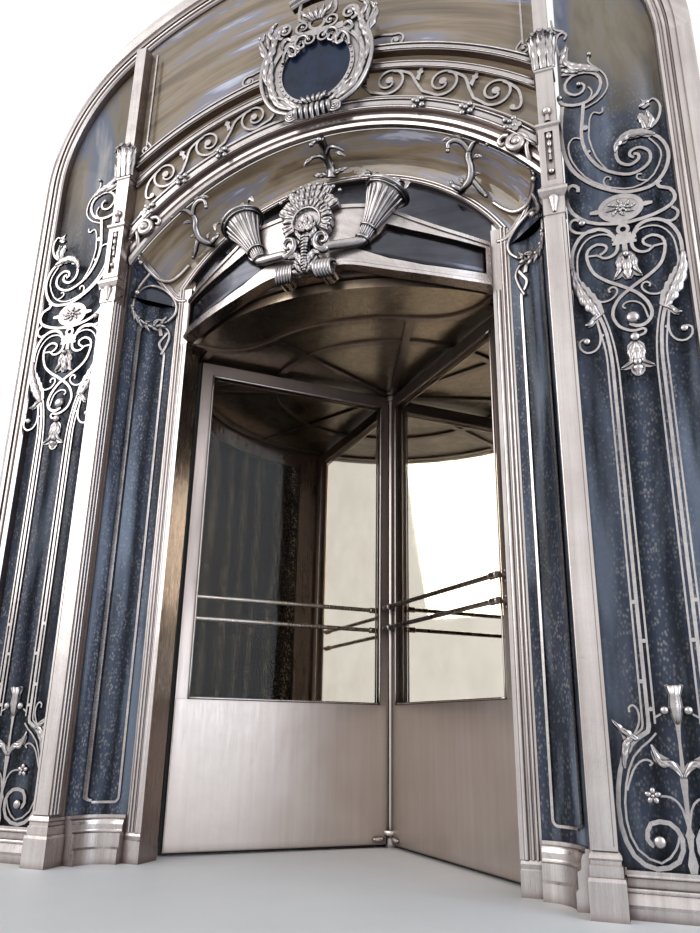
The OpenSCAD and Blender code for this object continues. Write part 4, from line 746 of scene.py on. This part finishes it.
def head_face(x, out=0.0):
    return head_centre_y - sqrt((head_radius + out) ** 2 - x * x)


def on_head(x, z, out):
    return Vector((x, head_face(x, out), z))


def shell_ribs(mesh, near, far, half_turn, count, out, thick):
    for i in range(count):
        a = radians(half_turn * (1 - 2 * i / (count - 1)))
        points, radii = [], []
        for k in range(7):
            u = k / 6
            reach = near + (far - near) * u
            points.append(on_head(reach * sin(a), shell_level + reach * cos(a),
                                  out + 0.007 * sin(pi * u)))
            radii.append(thick * (0.55 + 0.5 * u) * (0.7 if k in (0, 6) else 1))
        twig(mesh, points, radii, sides=10)


def horn(mesh, side):
    tall, mouth, tip = 0.2413, 0.0832, 0.0229
    lean, turn_out = radians(26), radians(5)
    axis = Vector((side * sin(lean), 0, cos(lean)))
    root = Vector((side * 0.1217, -1.2508, 2.3922))
    spin = Matrix.Rotation(side * turn_out, 3, "Z")
    root = spin @ root + Vector((0, head_centre_y, 0))
    axis = spin @ axis
    facing = spin @ Vector((0, -1, 0))
    across = axis.cross(facing).normalized()

    def at(reach, angle, rise):
        return root + axis * rise + (cos(angle) * facing + sin(angle) * across) * reach

    def skin(u):
        return sampled([1.0 * tip, 1.16 * tip, 1.3 * tip, 0.49 * mouth, 0.62 * mouth, 0.8 * mouth,
                        mouth - 0.004], u)

    for k in range(-4, 5):
        angle = k * 0.36
        points = [at(skin(u) + 0.001, angle, tall * (0.02 + 0.93 * u))
                  for u in (0.05, 0.25, 0.45, 0.65, 0.85, 0.97)]
        twig(mesh, points, [0.0022, 0.0042, 0.0054, 0.0068, 0.0085, 0.005], sides=8)
    for rise, reach, thick in ((tall + 0.003, mouth + 0.0115, 0.006),
                               (tall - 0.010, mouth + 0.004, 0.004),
                               (tall + 0.014, mouth + 0.004, 0.005)):
        twig(mesh, [at(reach, k * pi / 16, rise) for k in range(-18, 19)], [thick] * 3, sides=8)
    for x, y, rise, size in ((-0.052, 0.020, 0.020, 0.019), (-0.018, 0.030, 0.026, 0.023),
                             (0.024, 0.026, 0.024, 0.021), (0.056, 0.012, 0.018, 0.017),
                             (0.002, 0.006, 0.040, 0.020), (-0.036, -0.008, 0.030, 0.016),
                             (0.038, -0.010, 0.030, 0.018), (-0.070, 0.010, 0.010, 0.012),
                             (0.074, 0.008, 0.010, 0.013)):
        ball(mesh, root + axis * (tall + rise) + facing * y + across * x * side, size)
    for x, tip_x in ((-0.060, -0.100), (0.060, 0.098), (-0.030, -0.052), (0.034, 0.050),
                     (0, 0.006)):
        points = [root + axis * (tall + 0.012) + facing * 0.03 + across * x * side,
                  root + axis * (tall + 0.034) + facing * 0.045 + across * (x + tip_x) / 2 * side,
                  root + axis * (tall + 0.024) + facing * 0.066 + across * tip_x * side,
                  root + axis * (tall - 0.012) + facing * 0.074 + across * tip_x * 1.06 * side]
        leaf(mesh, points, [0.008, 0.018, 0.016, 0.003], 0.008, out=facing + axis * 0.7, teeth=5)
    tail = [at(0, 0, 0.030), at(0.004, 0, -0.006)]
    tail += [on_head(side * x, z, out) for x, z, out in (
        (0.106, 2.366, 0.030), (0.086, 2.350, 0.036), (0.062, 2.356, 0.040), (0.046, 2.382, 0.042),
        (0.052, 2.414, 0.043), (0.078, 2.424, 0.042), (0.094, 2.406, 0.040), (0.086, 2.386, 0.039),
        (0.072, 2.388, 0.038))]
    twig(mesh, tail, [0.022, 0.021, 0.018, 0.015, 0.013, 0.012, 0.011, 0.009, 0.008], sides=14)
    twig(mesh, [p + facing * 0.012 for p in tail[1:9]], [0.006, 0.006, 0.005, 0.004], sides=8)
    for rise in (0.006, 0.060):
        twig(mesh, [at(1.32 * tip + 0.1 * rise, k * pi / 8, rise) for k in range(-6, 7)],
             [0.0045, 0.0045], sides=8)


def reeded_end(mesh, side):
    middle, level = side * 0.093, 2.261
    for k in range(6):
        x = middle + side * (k - 2.5) * 0.0125
        path = [on_head(x - side * 0.010 * cos(a), level + 0.036 * sin(a), 0.030 + 0.034 * cos(a))
                for a in angles(112, -26, 9)]
        twig(mesh, path, [0.0055, 0.0078, 0.0078, 0.0055], sides=10)


ornament = bmesh.new()
shell_ribs(ornament, 0.070, 0.110, 122, 19, 0.032, 0.0086)
shell_ribs(ornament, 0.118, 0.154, 58, 13, 0.022, 0.0080)
shell_ribs(ornament, 0.162, 0.192, 25, 7, 0.012, 0.0072)
for reach, half_turn, out in ((0.062, 124, 0.041), (0.114, 60, 0.026), (0.157, 27, 0.015)):
    ridge = [on_head(reach * sin(a), shell_level + reach * cos(a), out)
             for a in [radians(half_turn * (k - 8) / 8) for k in range(17)]]
    twig(ornament, ridge, [0.004, 0.005, 0.004], sides=8)
for k in range(9):
    a = radians(-44 + 11 * k)
    ball(ornament, on_head(0.196 * sin(a), shell_level + 0.196 * cos(a), 0.013), 0.0095)
for a, length in ((-62, 0.056), (-32, 0.064), (0, 0.072), (32, 0.064), (62, 0.056)):
    a = radians(a)
    points = [on_head(t * length * sin(a), 2.452 + t * length * cos(a), 0.042)
              for t in (0.1, 0.4, 0.75, 1.05)]
    leaf(ornament, points, [0.007, 0.014, 0.013, 0.003], 0.012, teeth=4, curl=0.016, sink=0.006)
for side in (-1, 1):
    horn(ornament, side)
    reeded_end(ornament, side)
    for points, widths, lift in (
            ([(6, 2285), (20, 2325), (44, 2345), (68, 2328)], [10, 20, 17, 4], 15),
            ([(6, 2262), (24, 2278), (44, 2296), (58, 2280)], [8, 15, 12, 4], 12),
            ([(8, 2405), (26, 2430), (40, 2456), (30, 2480)], [8, 14, 12, 3], 12)):
        path = [on_head(side * x * 0.001, z * 0.001, 0.036) for x, z in points]
        leaf(ornament, path, thousandths(widths), lift * 0.001, teeth=4, curl=0.014, sink=0.012)
twist = [on_head(0.004 * sin(0.9 * k), 2.262 + 0.0165 * k, 0.040) for k in range(10)]
twig(ornament, twist, [0.009, 0.013, 0.012, 0.014, 0.018], sides=12)
for k in range(11):
    level = 2.272 + 0.0145 * k
    wide = 0.011 + 0.0006 * k
    coil = [on_head(wide * sin(a), level + 0.005 * a / pi, 0.040 + wide * cos(a))
            for a in angles(-110, 27.5, 9)]
    twig(ornament, coil, [0.003, 0.005, 0.003], sides=8)
make_piece("shell_and_horn_carving", ornament, "cast")

# %% [markdown]
# The shield over the arch sits in an openwork of scrolls. On each side an acanthus wing climbs the
# frame and breaks away at the top, a long leaf runs down beside the enamel, and beads follow the
# oval. A fluted clasp ties the frame to the arch band. One list of leaves serves both sides.

# %% Carving of the cartouche
# Leaves: points in shares of the shield's half width and half height, half widths, lift and lobes
SHIELD_LEAVES = (
    ([(0.62, -1.14), (1.02, -0.92), (1.26, -0.5), (1.36, 0.0), (1.30, 0.5)],
     [8, 20, 24, 22, 8], 17, 7),
    ([(1.36, -0.25), (1.52, 0.10), (1.50, 0.5), (1.36, 0.86), (1.30, 1.2), (1.50, 1.46)],
     [8, 22, 26, 24, 18, 6], 20, 7),
    ([(1.44, 0.62), (1.62, 0.9), (1.72, 1.26), (1.58, 1.52)], [8, 18, 16, 4], 15, 4),
    ([(1.30, 1.02), (1.20, 1.32), (1.06, 1.54), (0.86, 1.50)], [8, 20, 18, 5], 16, 4),
    ([(1.46, 1.0), (1.50, 1.36), (1.40, 1.66), (1.20, 1.74)], [8, 17, 15, 4], 14, 4),
    ([(0.72, 1.04), (0.92, 1.16), (1.04, 1.0), (0.98, 0.80)], [6, 13, 11, 3], 11, 3),
    ([(0.34, -1.22), (0.62, -1.02), (0.86, -0.78), (1.10, -0.70)], [7, 17, 14, 4], 13, 4))
# Round scrolls as points, distance out, radii and sides: the outer roll and two small volutes
SHIELD_SCROLLS = (
    ([(0.30, -1.36), (0.72, -1.30), (1.18, -1.04), (1.48, -0.58), (1.62, -0.05), (1.60, 0.45),
      (1.50, 0.80), (1.62, 1.10), (1.74, 1.34)], 0.010, [10, 11, 11, 10, 9, 8, 7], 12),
    ([(0.20, 0.86), (0.34, 1.06), (0.56, 1.02), (0.62, 0.82), (0.50, 0.66), (0.36, 0.74),
      (0.40, 0.88)], 0.012, [8, 8, 7, 6, 6], 10),
    ([(0.98, 0.36), (0.94, 0.66), (0.78, 0.84), (0.60, 0.70), (0.64, 0.50), (0.78, 0.54),
      (0.76, 0.66)], 0.012, [7, 8, 8, 6, 6], 10))
# Places and sizes of the small knobs, sizes in millimetres
SHIELD_BALLS = ((0.98, 1.4, 13), (0.62, 0.72, 10), (0.22, 0.9, 9), (0.42, 1.34, 10),
                (1.72, 1.40, 12))
BEADS_ROUND_SHIELD, CLASP_FLUTES = 40, 7
shield_level, shield_wide, shield_tall = 3.3553, 0.168, 0.185
shield_face = -1.1735


def on_shield(side, x, z, out=0.0):
    return Vector((side * x * shield_wide, shield_face - out, shield_level + z * shield_tall))


def shield_side(mesh, side):
    for points, widths, lift, teeth in SHIELD_LEAVES:
        path = [on_shield(side, x, z, 0.004) for x, z in points]
        leaf(mesh, path, thousandths(widths), lift * 0.001, teeth=teeth, curl=0.012, sink=0.006)
    for points, out, radii, sides in SHIELD_SCROLLS:
        twig(mesh, [on_shield(side, x, z, out) for x, z in points], thousandths(radii), sides=sides)
    for x, z, r in SHIELD_BALLS:
        ball(mesh, on_shield(side, x, z, 0.012), (r * 0.001, r * 0.001, 0.010))
    end = on_shield(side, 0.62, -1.42, 0.018)
    for reach in (0.026, 0.017, 0.008):
        forward = 0.3 * (reach - 0.026)
        ring = [end + Vector((cos(a) * reach, forward, sin(a) * reach)) for a in angles(0, 30, 13)]
        twig(mesh, ring, [0.0055, 0.0055], sides=8)


def cartouche_carving():
    mesh = bmesh.new()
    for side in (-1, 1):
        shield_side(mesh, side)
    for k in range(BEADS_ROUND_SHIELD):
        a = 2 * pi * k / BEADS_ROUND_SHIELD
        ball(mesh, on_shield(1, 1.06 * cos(a), 1.055 * sin(a), 0.006), 0.0052)
    for k in range(CLASP_FLUTES):
        from_middle = k - CLASP_FLUTES // 2
        low, high = -1.62 + 0.03 * abs(from_middle), -1.16 - 0.02 * abs(from_middle)
        path = [on_shield(1, from_middle * 0.155, low + (high - low) * t,
                          0.012 + 0.020 * sin(pi * t))
                for t in (0, 0.25, 0.5, 0.75, 1)]
        twig(mesh, path, [0.007, 0.0115, 0.0115, 0.007], sides=10)
    for rays, widths, lift, curl in (
            (((0.06, 1.5, 0.010), (0.16, 1.66, 0.022), (0.24, 1.84, 0.016)), [6, 13, 4], 0.011,
             0.010),
            (((0.08, -1.12, 0.014), (0.14, -1.02, 0.020), (0.18, -0.90, 0.012)), [5, 11, 3], 0.010,
             0.006)):
        for k in range(-2, 3):
            path = [on_shield(1, k * x, z, out) for x, z, out in rays]
            leaf(mesh, path, thousandths(widths), lift, teeth=2, curl=curl, sink=0.006)
    return make_piece("cartouche_carving", mesh, "cast")


cartouche_carving()

# %% [markdown]
# The rails of the arch band are built up from several drawn bars, which show as bright lines with
# dark gaps between them. Thin rods swept along the arch give the lines. A second set in the dark
# finish, sunk a little, paints the shade in the gaps.

# %% Lines along the arch band
band_level, band_radius = 1.8403, 1.263
ARCH_STEPS, ROD_SIDES = 72, 8


def arch_rod(mesh, radius, y, reach_x, thick, depth):
    half = asin(reach_x / radius)
    rings = []
    for k in range(ARCH_STEPS + 1):
        a = half * (2 * k / ARCH_STEPS - 1)
        ring = []
        for i in range(ROD_SIDES):
            b = 2 * pi * i / ROD_SIDES
            r = radius + thick * cos(b)
            ring.append(Vector((r * sin(a), y - depth * sin(b), band_level + r * cos(a))))
        rings.append(ring)
    loft(mesh, rings)


lines = bmesh.new()
for above, y, reach, thick in ((0.336, -1.145, 0.95, 0.005), (0.309, -1.145, 0.95, 0.004),
                               (0.0435, -1.141, 0.945, 0.004), (0.004, -1.141, 0.945, 0.005),
                               (0.2275, -1.128, 0.95, 0.0035), (0.2525, -1.128, 0.95, 0.0035)):
    arch_rod(lines, band_radius + above, y, reach, thick, 0.004)
make_piece("arch_band_beads", lines, "cast")
# Painted shade: dark rods in the recesses between the bars.
gap_shade = bmesh.new()
for above, y, reach in ((0.3285, -1.1428, 0.95), (0.0365, -1.1388, 0.945),
                        (0.0115, -1.1388, 0.945)):
    arch_rod(gap_shade, band_radius + above, y, reach, 0.0026, 0.0006)
make_piece("arch_band_gap_shade", gap_shade, "inlay")

# %% [markdown]
# The board of the door head has two sunk panels with a darker, glossier inlay. Each follows the
# bow, so it is lofted in narrow upright strips between the panel's lower and upper line.

# %% Inlays of the door head
upper_line = [(0.2047, 2.3640), (0.2577, 2.3943), (0.2971, 2.4297), (0.3228, 2.4744),
              (0.4151, 2.4442), (0.5333, 2.4172), (0.6978, 2.3860)]
lower_line = [(0.2047, 2.3622), (0.3336, 2.3090), (0.4674, 2.2778), (0.5869, 2.2674),
              (0.6978, 2.2632)]


def line_at(line, x):
    for (x0, z0), (x1, z1) in zip(line, line[1:]):
        if x <= x1:
            return z0 + (z1 - z0) * (x - x0) / (x1 - x0)
    return line[-1][1]


def head_inlay(side):
    mesh = bmesh.new()
    rings = []
    stops = sorted({upper_line[0][0] + 0.004 + (0.4851 * k / 40) for k in range(41)} | {0.3228})
    for x in stops:
        low, high = line_at(lower_line, x) + 0.002, line_at(upper_line, x) - 0.002
        ring = []
        for out, order in ((-0.0175, range(5)), (-0.0215, range(4, -1, -1))):
            for k in order:
                z = low + (high - low) * k / 4
                ring.append(Vector((side * x, head_face(x, out), z)))
        rings.append(ring)
    loft(mesh, rings)
    return make_piece(f"head_inlay_{side_name(side)}", mesh, "inlay")


for side in (-1, 1):
    head_inlay(side)

# %% [markdown]
# Three bronze twigs climb over the curved transom glass from the inner arch to the outer one. They
# are real round branches, so a loft of circles along a smooth path suits them, with leaves and
# small fruit at the forks. The tables hold points in metres and radii in millimetres.

# %% Twigs over the transom glass
THICKER = 1.45
# Branches as points, radii, sides and flutes
MIDDLE_TWIG = (
    ([(0, -0.945, 2.925), (0.004, -0.968, 2.958), (-0.003, -1.010, 2.986), (0.003, -1.055, 3.006),
      (0, -1.100, 3.020)], [20, 14, 15, 13, 15], 16, 1),
    ([(-0.004, -1.00, 2.978), (-0.026, -1.03, 2.984), (-0.058, -1.045, 2.972),
      (-0.092, -1.03, 2.956)], [10, 8, 6, 3], 10, 0),
    ([(0.004, -1.03, 2.99), (0.030, -1.055, 3.000), (0.064, -1.06, 2.985), (0.100, -1.045, 2.966)],
     [10, 8, 6, 3], 10, 0),
    ([(-0.006, -1.09, 3.012), (-0.024, -1.105, 3.004), (-0.034, -1.11, 2.992)], [8, 7, 6], 10, 0))
SIDE_TWIG = (
    ([(0.600, -0.945, 2.694), (0.622, -0.972, 2.690), (0.652, -0.996, 2.706), (0.662, -1.02, 2.742),
      (0.656, -1.04, 2.780), (0.664, -1.058, 2.806)], [12, 11, 13, 12, 11, 10], 12, 1),
    ([(0.664, -1.055, 2.802), (0.690, -1.08, 2.816), (0.722, -1.098, 2.806), (0.748, -1.10, 2.782)],
     [10, 8, 7, 5], 10, 0),
    ([(0.662, -1.055, 2.800), (0.644, -1.078, 2.826), (0.612, -1.09, 2.842), (0.584, -1.088, 2.836),
      (0.580, -1.08, 2.816)], [10, 9, 8, 7, 6], 10, 0),
    ([(0.654, -0.99, 2.712), (0.672, -0.984, 2.690), (0.690, -0.965, 2.664), (0.706, -0.95, 2.648)],
     [10, 9, 10, 8], 10, 0),
    ([(0.606, -0.96, 2.692), (0.584, -0.975, 2.700), (0.568, -0.97, 2.722)], [10, 9, 7], 10, 0))
SIDE_FRUIT = ((0.568, -0.972, 2.728, 10), (0.578, -1.078, 2.808, 10), (0.748, -1.10, 2.776, 9),
              (0.708, -0.95, 2.644, 11))
SIDE_SPRIGS = (
    ((0.640, -1.078, 2.828), (0.630, -1.092, 2.850), (0.606, -1.098, 2.862)),
    ((0.602, -1.09, 2.842), (0.582, -1.1, 2.850), (0.556, -1.096, 2.846)),
    ((0.668, -1.03, 2.772), (0.694, -1.045, 2.776), (0.716, -1.05, 2.766)),
    ((0.656, -0.995, 2.712), (0.676, -1.005, 2.722), (0.700, -1.005, 2.718)),
    ((0.622, -0.97, 2.694), (0.616, -0.985, 2.716), (0.600, -0.99, 2.732)))
glass_facing = Vector((0, -0.75, -0.65))


def mirrored(side, points, push=0.0):
    return [Vector((side * x, y + push, z)) for x, y, z in points]


def branches(mesh, rows, side=1):
    for points, radii, sides, flutes in rows:
        twig(mesh, mirrored(side, points), [THICKER * 0.001 * r for r in radii], sides, flutes)


def transom_twigs():
    mesh = bmesh.new()
    branches(mesh, MIDDLE_TWIG)
    for centre, r in (((-0.036, -1.112, 2.984), 0.011), ((0, -1.108, 3.006), 0.014)):
        ball(mesh, centre, r)
    for side in (-1, 1):
        low_leaf = [(0.008, -0.955, 2.930), (0.034, -0.975, 2.924), (0.066, -0.975, 2.932),
                    (0.090, -0.965, 2.946)]
        leaf(mesh, mirrored(side, low_leaf), [0.006, 0.014, 0.012, 0.002], 0.008, glass_facing,
             teeth=4)
        high_leaf = [(0.050, -1.045, 2.974), (0.076, -1.05, 2.958), (0.104, -1.04, 2.940)]
        leaf(mesh, mirrored(side, high_leaf), [0.004, 0.011, 0.002], 0.006, glass_facing, teeth=3)
    for z, y in ((2.948, -0.962), (2.968, -0.985)):
        ring = [(0.018 * cos(a), y + 0.006 * sin(a), z - 0.012 * sin(a)) for a in angles(0, 30, 13)]
        branches(mesh, ((ring, [3.5, 3.5], 8, 0),))
    for side in (-1, 1):
        branches(mesh, SIDE_TWIG, side)
        for x, y, z, r in SIDE_FRUIT:
            ball(mesh, (side * x, y, z), r * 0.001)
        for points in SIDE_SPRIGS:
            leaf(mesh, mirrored(side, points), [0.004, 0.012, 0.002], 0.007, glass_facing, teeth=3,
                 curl=0.004)
    return make_piece("transom_twigs", mesh, "cast")


transom_twigs()

# %% [markdown]
# At each end of the transom a round bar starts in a bold volute on the outer ring, curls round the
# corner of the glass and comes back along the inner arch to the foot of the twig. The bar lies on
# the curved glass, so its points are taken from the glass and moved out by the bar's own radius.
# The rosettes that pin the arch band's lower rail are made in the same step.

# %% Corner bars of the transom
VOLUTE_CENTRE, VOLUTE_STEPS = (0.868, -1.130, 2.722), 26
ROUND_THE_CORNER = (
    (0.735, -0.944, 2.612), (0.777, -0.946, 2.568), (0.822, -0.952, 2.538), (0.872, -0.976, 2.538),
    (0.906, -1.020, 2.566), (0.920, -1.072, 2.602), (0.912, -1.112, 2.640))
UPPER_HOOK = (
    (0.838, -1.138, 2.768), (0.815, -1.136, 2.772), (0.798, -1.130, 2.758), (0.806, -1.126, 2.740),
    (0.820, -1.128, 2.744))
LOWER_TAIL = ((0.905, -1.010, 2.560), (0.922, -1.035, 2.500), (0.928, -1.060, 2.440),
              (0.906, -1.080, 2.410))


def transom_bars():
    mesh = bmesh.new()
    for side in (-1, 1):
        centre = mirrored(side, [VOLUTE_CENTRE])[0]
        spiral = []
        for k in range(VOLUTE_STEPS + 1):
            a = radians(-62 + 24 * k)
            wound = k / VOLUTE_STEPS
            reach = 0.008 + 0.0415 * (1 - wound)
            spiral.append(centre + Vector((side * reach * cos(a), -0.010 * wound, reach * sin(a))))
        bar = mirrored(side, ROUND_THE_CORNER, 0.007) + spiral[1:]
        twig(mesh, bar, thousandths([9.5, 10.5, 11, 11, 12, 13, 15.5, 15, 14, 12, 10]), sides=12)
        ball(mesh, centre + Vector((0, -0.012, 0)), (0.017, 0.017, 0.014))
        twig(mesh, mirrored(side, UPPER_HOOK, 0.009), thousandths([12, 11, 10, 9, 8]), sides=10)
        tail = mirrored(side, LOWER_TAIL, 0.004)
        twig(mesh, tail, thousandths([10, 9, 8, 7]), sides=10)
        for spot in (tail[-1], Vector((side * 0.920, -1.060, 2.585))):
            ball(mesh, spot + Vector((0, -0.006, 0)), 0.014)
    return make_piece("transom_bars", mesh, "bronze")


def band_rosettes():
    mesh = bmesh.new()
    for x, z, face in ((0.471, 3.029, -1.149), (0.675, 2.935, -1.149), (0.848, 2.818, -1.139)):
        for side in (-1, 1):
            for a in angles(45, 90, 4):
                tip = Vector((side * x + 0.024 * cos(a), face - 0.006, z + 0.024 * sin(a)))
                ball(mesh, tip, (0.0125, 0.0125, 0.009))
            ball(mesh, (side * x, face - 0.012, z), (0.010, 0.010, 0.009))
    return make_piece("band_rosettes", mesh, "cast")


transom_bars()
band_rosettes()

# %% [markdown]
# Where the transom glass meets the curved corner panel, a moulding of three reeds runs up from the
# jamb's corner to the pilaster. Under it an oval ring closes the top of the panel, with a small
# garland at its foot, and the panel's inner bar bends out to meet it.

# %% Reeds and ovals of the corner panels
SLOPE = (
    (0.744, -0.915, 2.425), (0.790, -0.922, 2.432), (0.835, -0.932, 2.484), (0.873, -0.952, 2.531),
    (0.908, -1.008, 2.580), (0.925, -1.085, 2.612))
OVAL = (
    (0.930, -1.013, 2.287), (0.941, -1.045, 2.330), (0.942, -1.048, 2.393), (0.932, -1.018, 2.462),
    (0.906, -0.978, 2.501), (0.866, -0.945, 2.496), (0.822, -0.928, 2.459), (0.790, -0.925, 2.400),
    (0.797, -0.924, 2.353), (0.829, -0.929, 2.319))
BEND = (
    (0.870, -0.947, 2.290), (0.835, -0.931, 2.287), (0.813, -0.926, 2.248), (0.823, -0.928, 2.197),
    (0.845, -0.935, 2.144))
GARLAND = (
    (0.944, -1.062, 2.359), (0.936, -1.027, 2.318), (0.918, -0.992, 2.296), (0.892, -0.963, 2.285),
    (0.862, -0.943, 2.296), (0.829, -0.929, 2.319))
# Each reed as its lift over the slope, its distance out and its radius
REEDS = ((-0.013, 0.005, 0.006), (0.0, 0.008, 0.0085), (0.014, 0.005, 0.006), (0.028, 0.003, 0.005))


def off_the_glass(side, points, out):
    return [Vector((side * (x - 0.3 * out), y - out, z)) for x, y, z in points]


def corner_ovals():
    reeds, bars = bmesh.new(), bmesh.new()
    for side in (-1, 1):
        for lift, out, thick in REEDS:
            path = [p + Vector((0, 0, lift)) for p in off_the_glass(side, SLOPE, out)]
            twig(reeds, path, [thick] * 3, sides=8)
        twig(bars, off_the_glass(side, OVAL, 0.008), thousandths([8, 9, 9.5, 9, 8]), sides=12)
        twig(bars, off_the_glass(side, BEND, 0.006), thousandths([6, 7, 8, 8]), sides=10)
        garland = off_the_glass(side, GARLAND, 0.012)
        twig(bars, garland, thousandths([5, 9, 11, 9, 5]), sides=10)
        for start, end in zip(garland, garland[1:]):
            middle = (start + end) / 2
            ball(bars, middle + Vector((0, -0.008, 0)), 0.010)
            for drop in (-0.030, 0.026):
                leaf(bars, [start, middle + Vector((0, -0.006, drop * 0.5)),
                            end + Vector((0, -0.006, drop))],
                     [0.003, 0.010, 0.002], 0.006, teeth=3)
    make_piece("corner_reeds", reeds, "bronze")
    return make_piece("corner_ovals", bars, "cast")


corner_ovals()

# %% [markdown]
# The rotor's small fittings are the same on all four wings, so they are made once per wing from
# its direction: a bead round the pane on both faces, collars on the ends of the push bars, the
# screws that hold their brackets, and the lobes of the clamp at the foot of the post. They ride on
# the rotor.

# %% Fittings of the rotor
first_wing = radians(43.5)
WINDOW = ((0.0795, 0.616), (0.983, 0.616), (0.983, 2.126), (0.0795, 2.126))
BAR_LEVELS, BAR_ASIDE, WING_FACE = (0.965, 1.063), -0.062, 0.023


def wing_fittings(number):
    mesh = bmesh.new()
    turn_to = first_wing + (number - 1) * pi / 2
    along = Vector((cos(turn_to), sin(turn_to), 0))
    off = Vector((-sin(turn_to), cos(turn_to), 0))

    def on_wing(reach, aside, level):
        return along * reach + off * aside + Vector((0, 0, level))

    for aside in (-WING_FACE, WING_FACE):
        for (r0, z0), (r1, z1) in zip(WINDOW, WINDOW[1:] + WINDOW[:1]):
            bead = [on_wing(r0 + (r1 - r0) * t, aside, z0 + (z1 - z0) * t)
                    for t in (0, 0.33, 0.66, 1)]
            twig(mesh, bead, [0.0045] * 3, sides=8)
    for level in BAR_LEVELS:
        for near, far in ((0.050, 0.092), (0.976, 1.018)):
            for reach in (near, far):
                ring = [on_wing(reach + step, BAR_ASIDE, level) for step in (-0.006, 0, 0.006)]
                twig(mesh, ring, [0.011, 0.0150, 0.011], sides=14)
            collar = [on_wing(reach, BAR_ASIDE, level) for reach in (near, (near + far) / 2, far)]
            twig(mesh, collar, [0.0140] * 3, sides=14)
        for lift in (-0.020, 0.020):
            for reach in (0.056, 1.013):
                screw = on_wing(reach, -0.0225, level + lift)
                ball(mesh, screw, (0.0055, 0.0055, 0.0028), out=-off)
    for hand in (-1, 1):
        ball(mesh, on_wing(0.082, 0.026 * hand, 0.036), (0.030, 0.012, 0.014), out=off * hand)
        ball(mesh, on_wing(0.104, 0.034 * hand, 0.036), (0.006, 0.006, 0.005), out=off * hand)
    return make_piece(f"wing_fittings_{number}", mesh, "bronze", body="rotor")


for number in WINGS:
    wing_fittings(number)
collar_profile = [(0.030, 0), (0.055, 0.002), (0.058, 0.008), (0.058, 0.022), (0.053, 0.027),
                  (0.034, 0.028)]
clamp = bmesh.new()
turned_drop(clamp, (0, 0, 0.046), (0, 0, 1), collar_profile, sides=40)
make_piece("foot_collar", clamp, "bronze", body="rotor")

# %% [markdown]
# The floor is only there to take the shadow, so it is one large plane.

# %% Floor
FLOOR_SIDE = 30
bpy.ops.mesh.primitive_plane_add(size=FLOOR_SIDE, location=(0, 0, 0))
floor = bpy.context.object
floor.name = "studio_floor"
made, tree, shader, place = start_material("pale floor", Roughness=0.55)
painted(tree, shader, ramp(tree, noise_of(tree, place, 1.5, 6, 0.6),
                           [(0.3, (0.74, 0.735, 0.725)), (0.7, (0.80, 0.795, 0.785))]))
floor.data.materials.append(made)
print("floor side in metres:", FLOOR_SIDE)
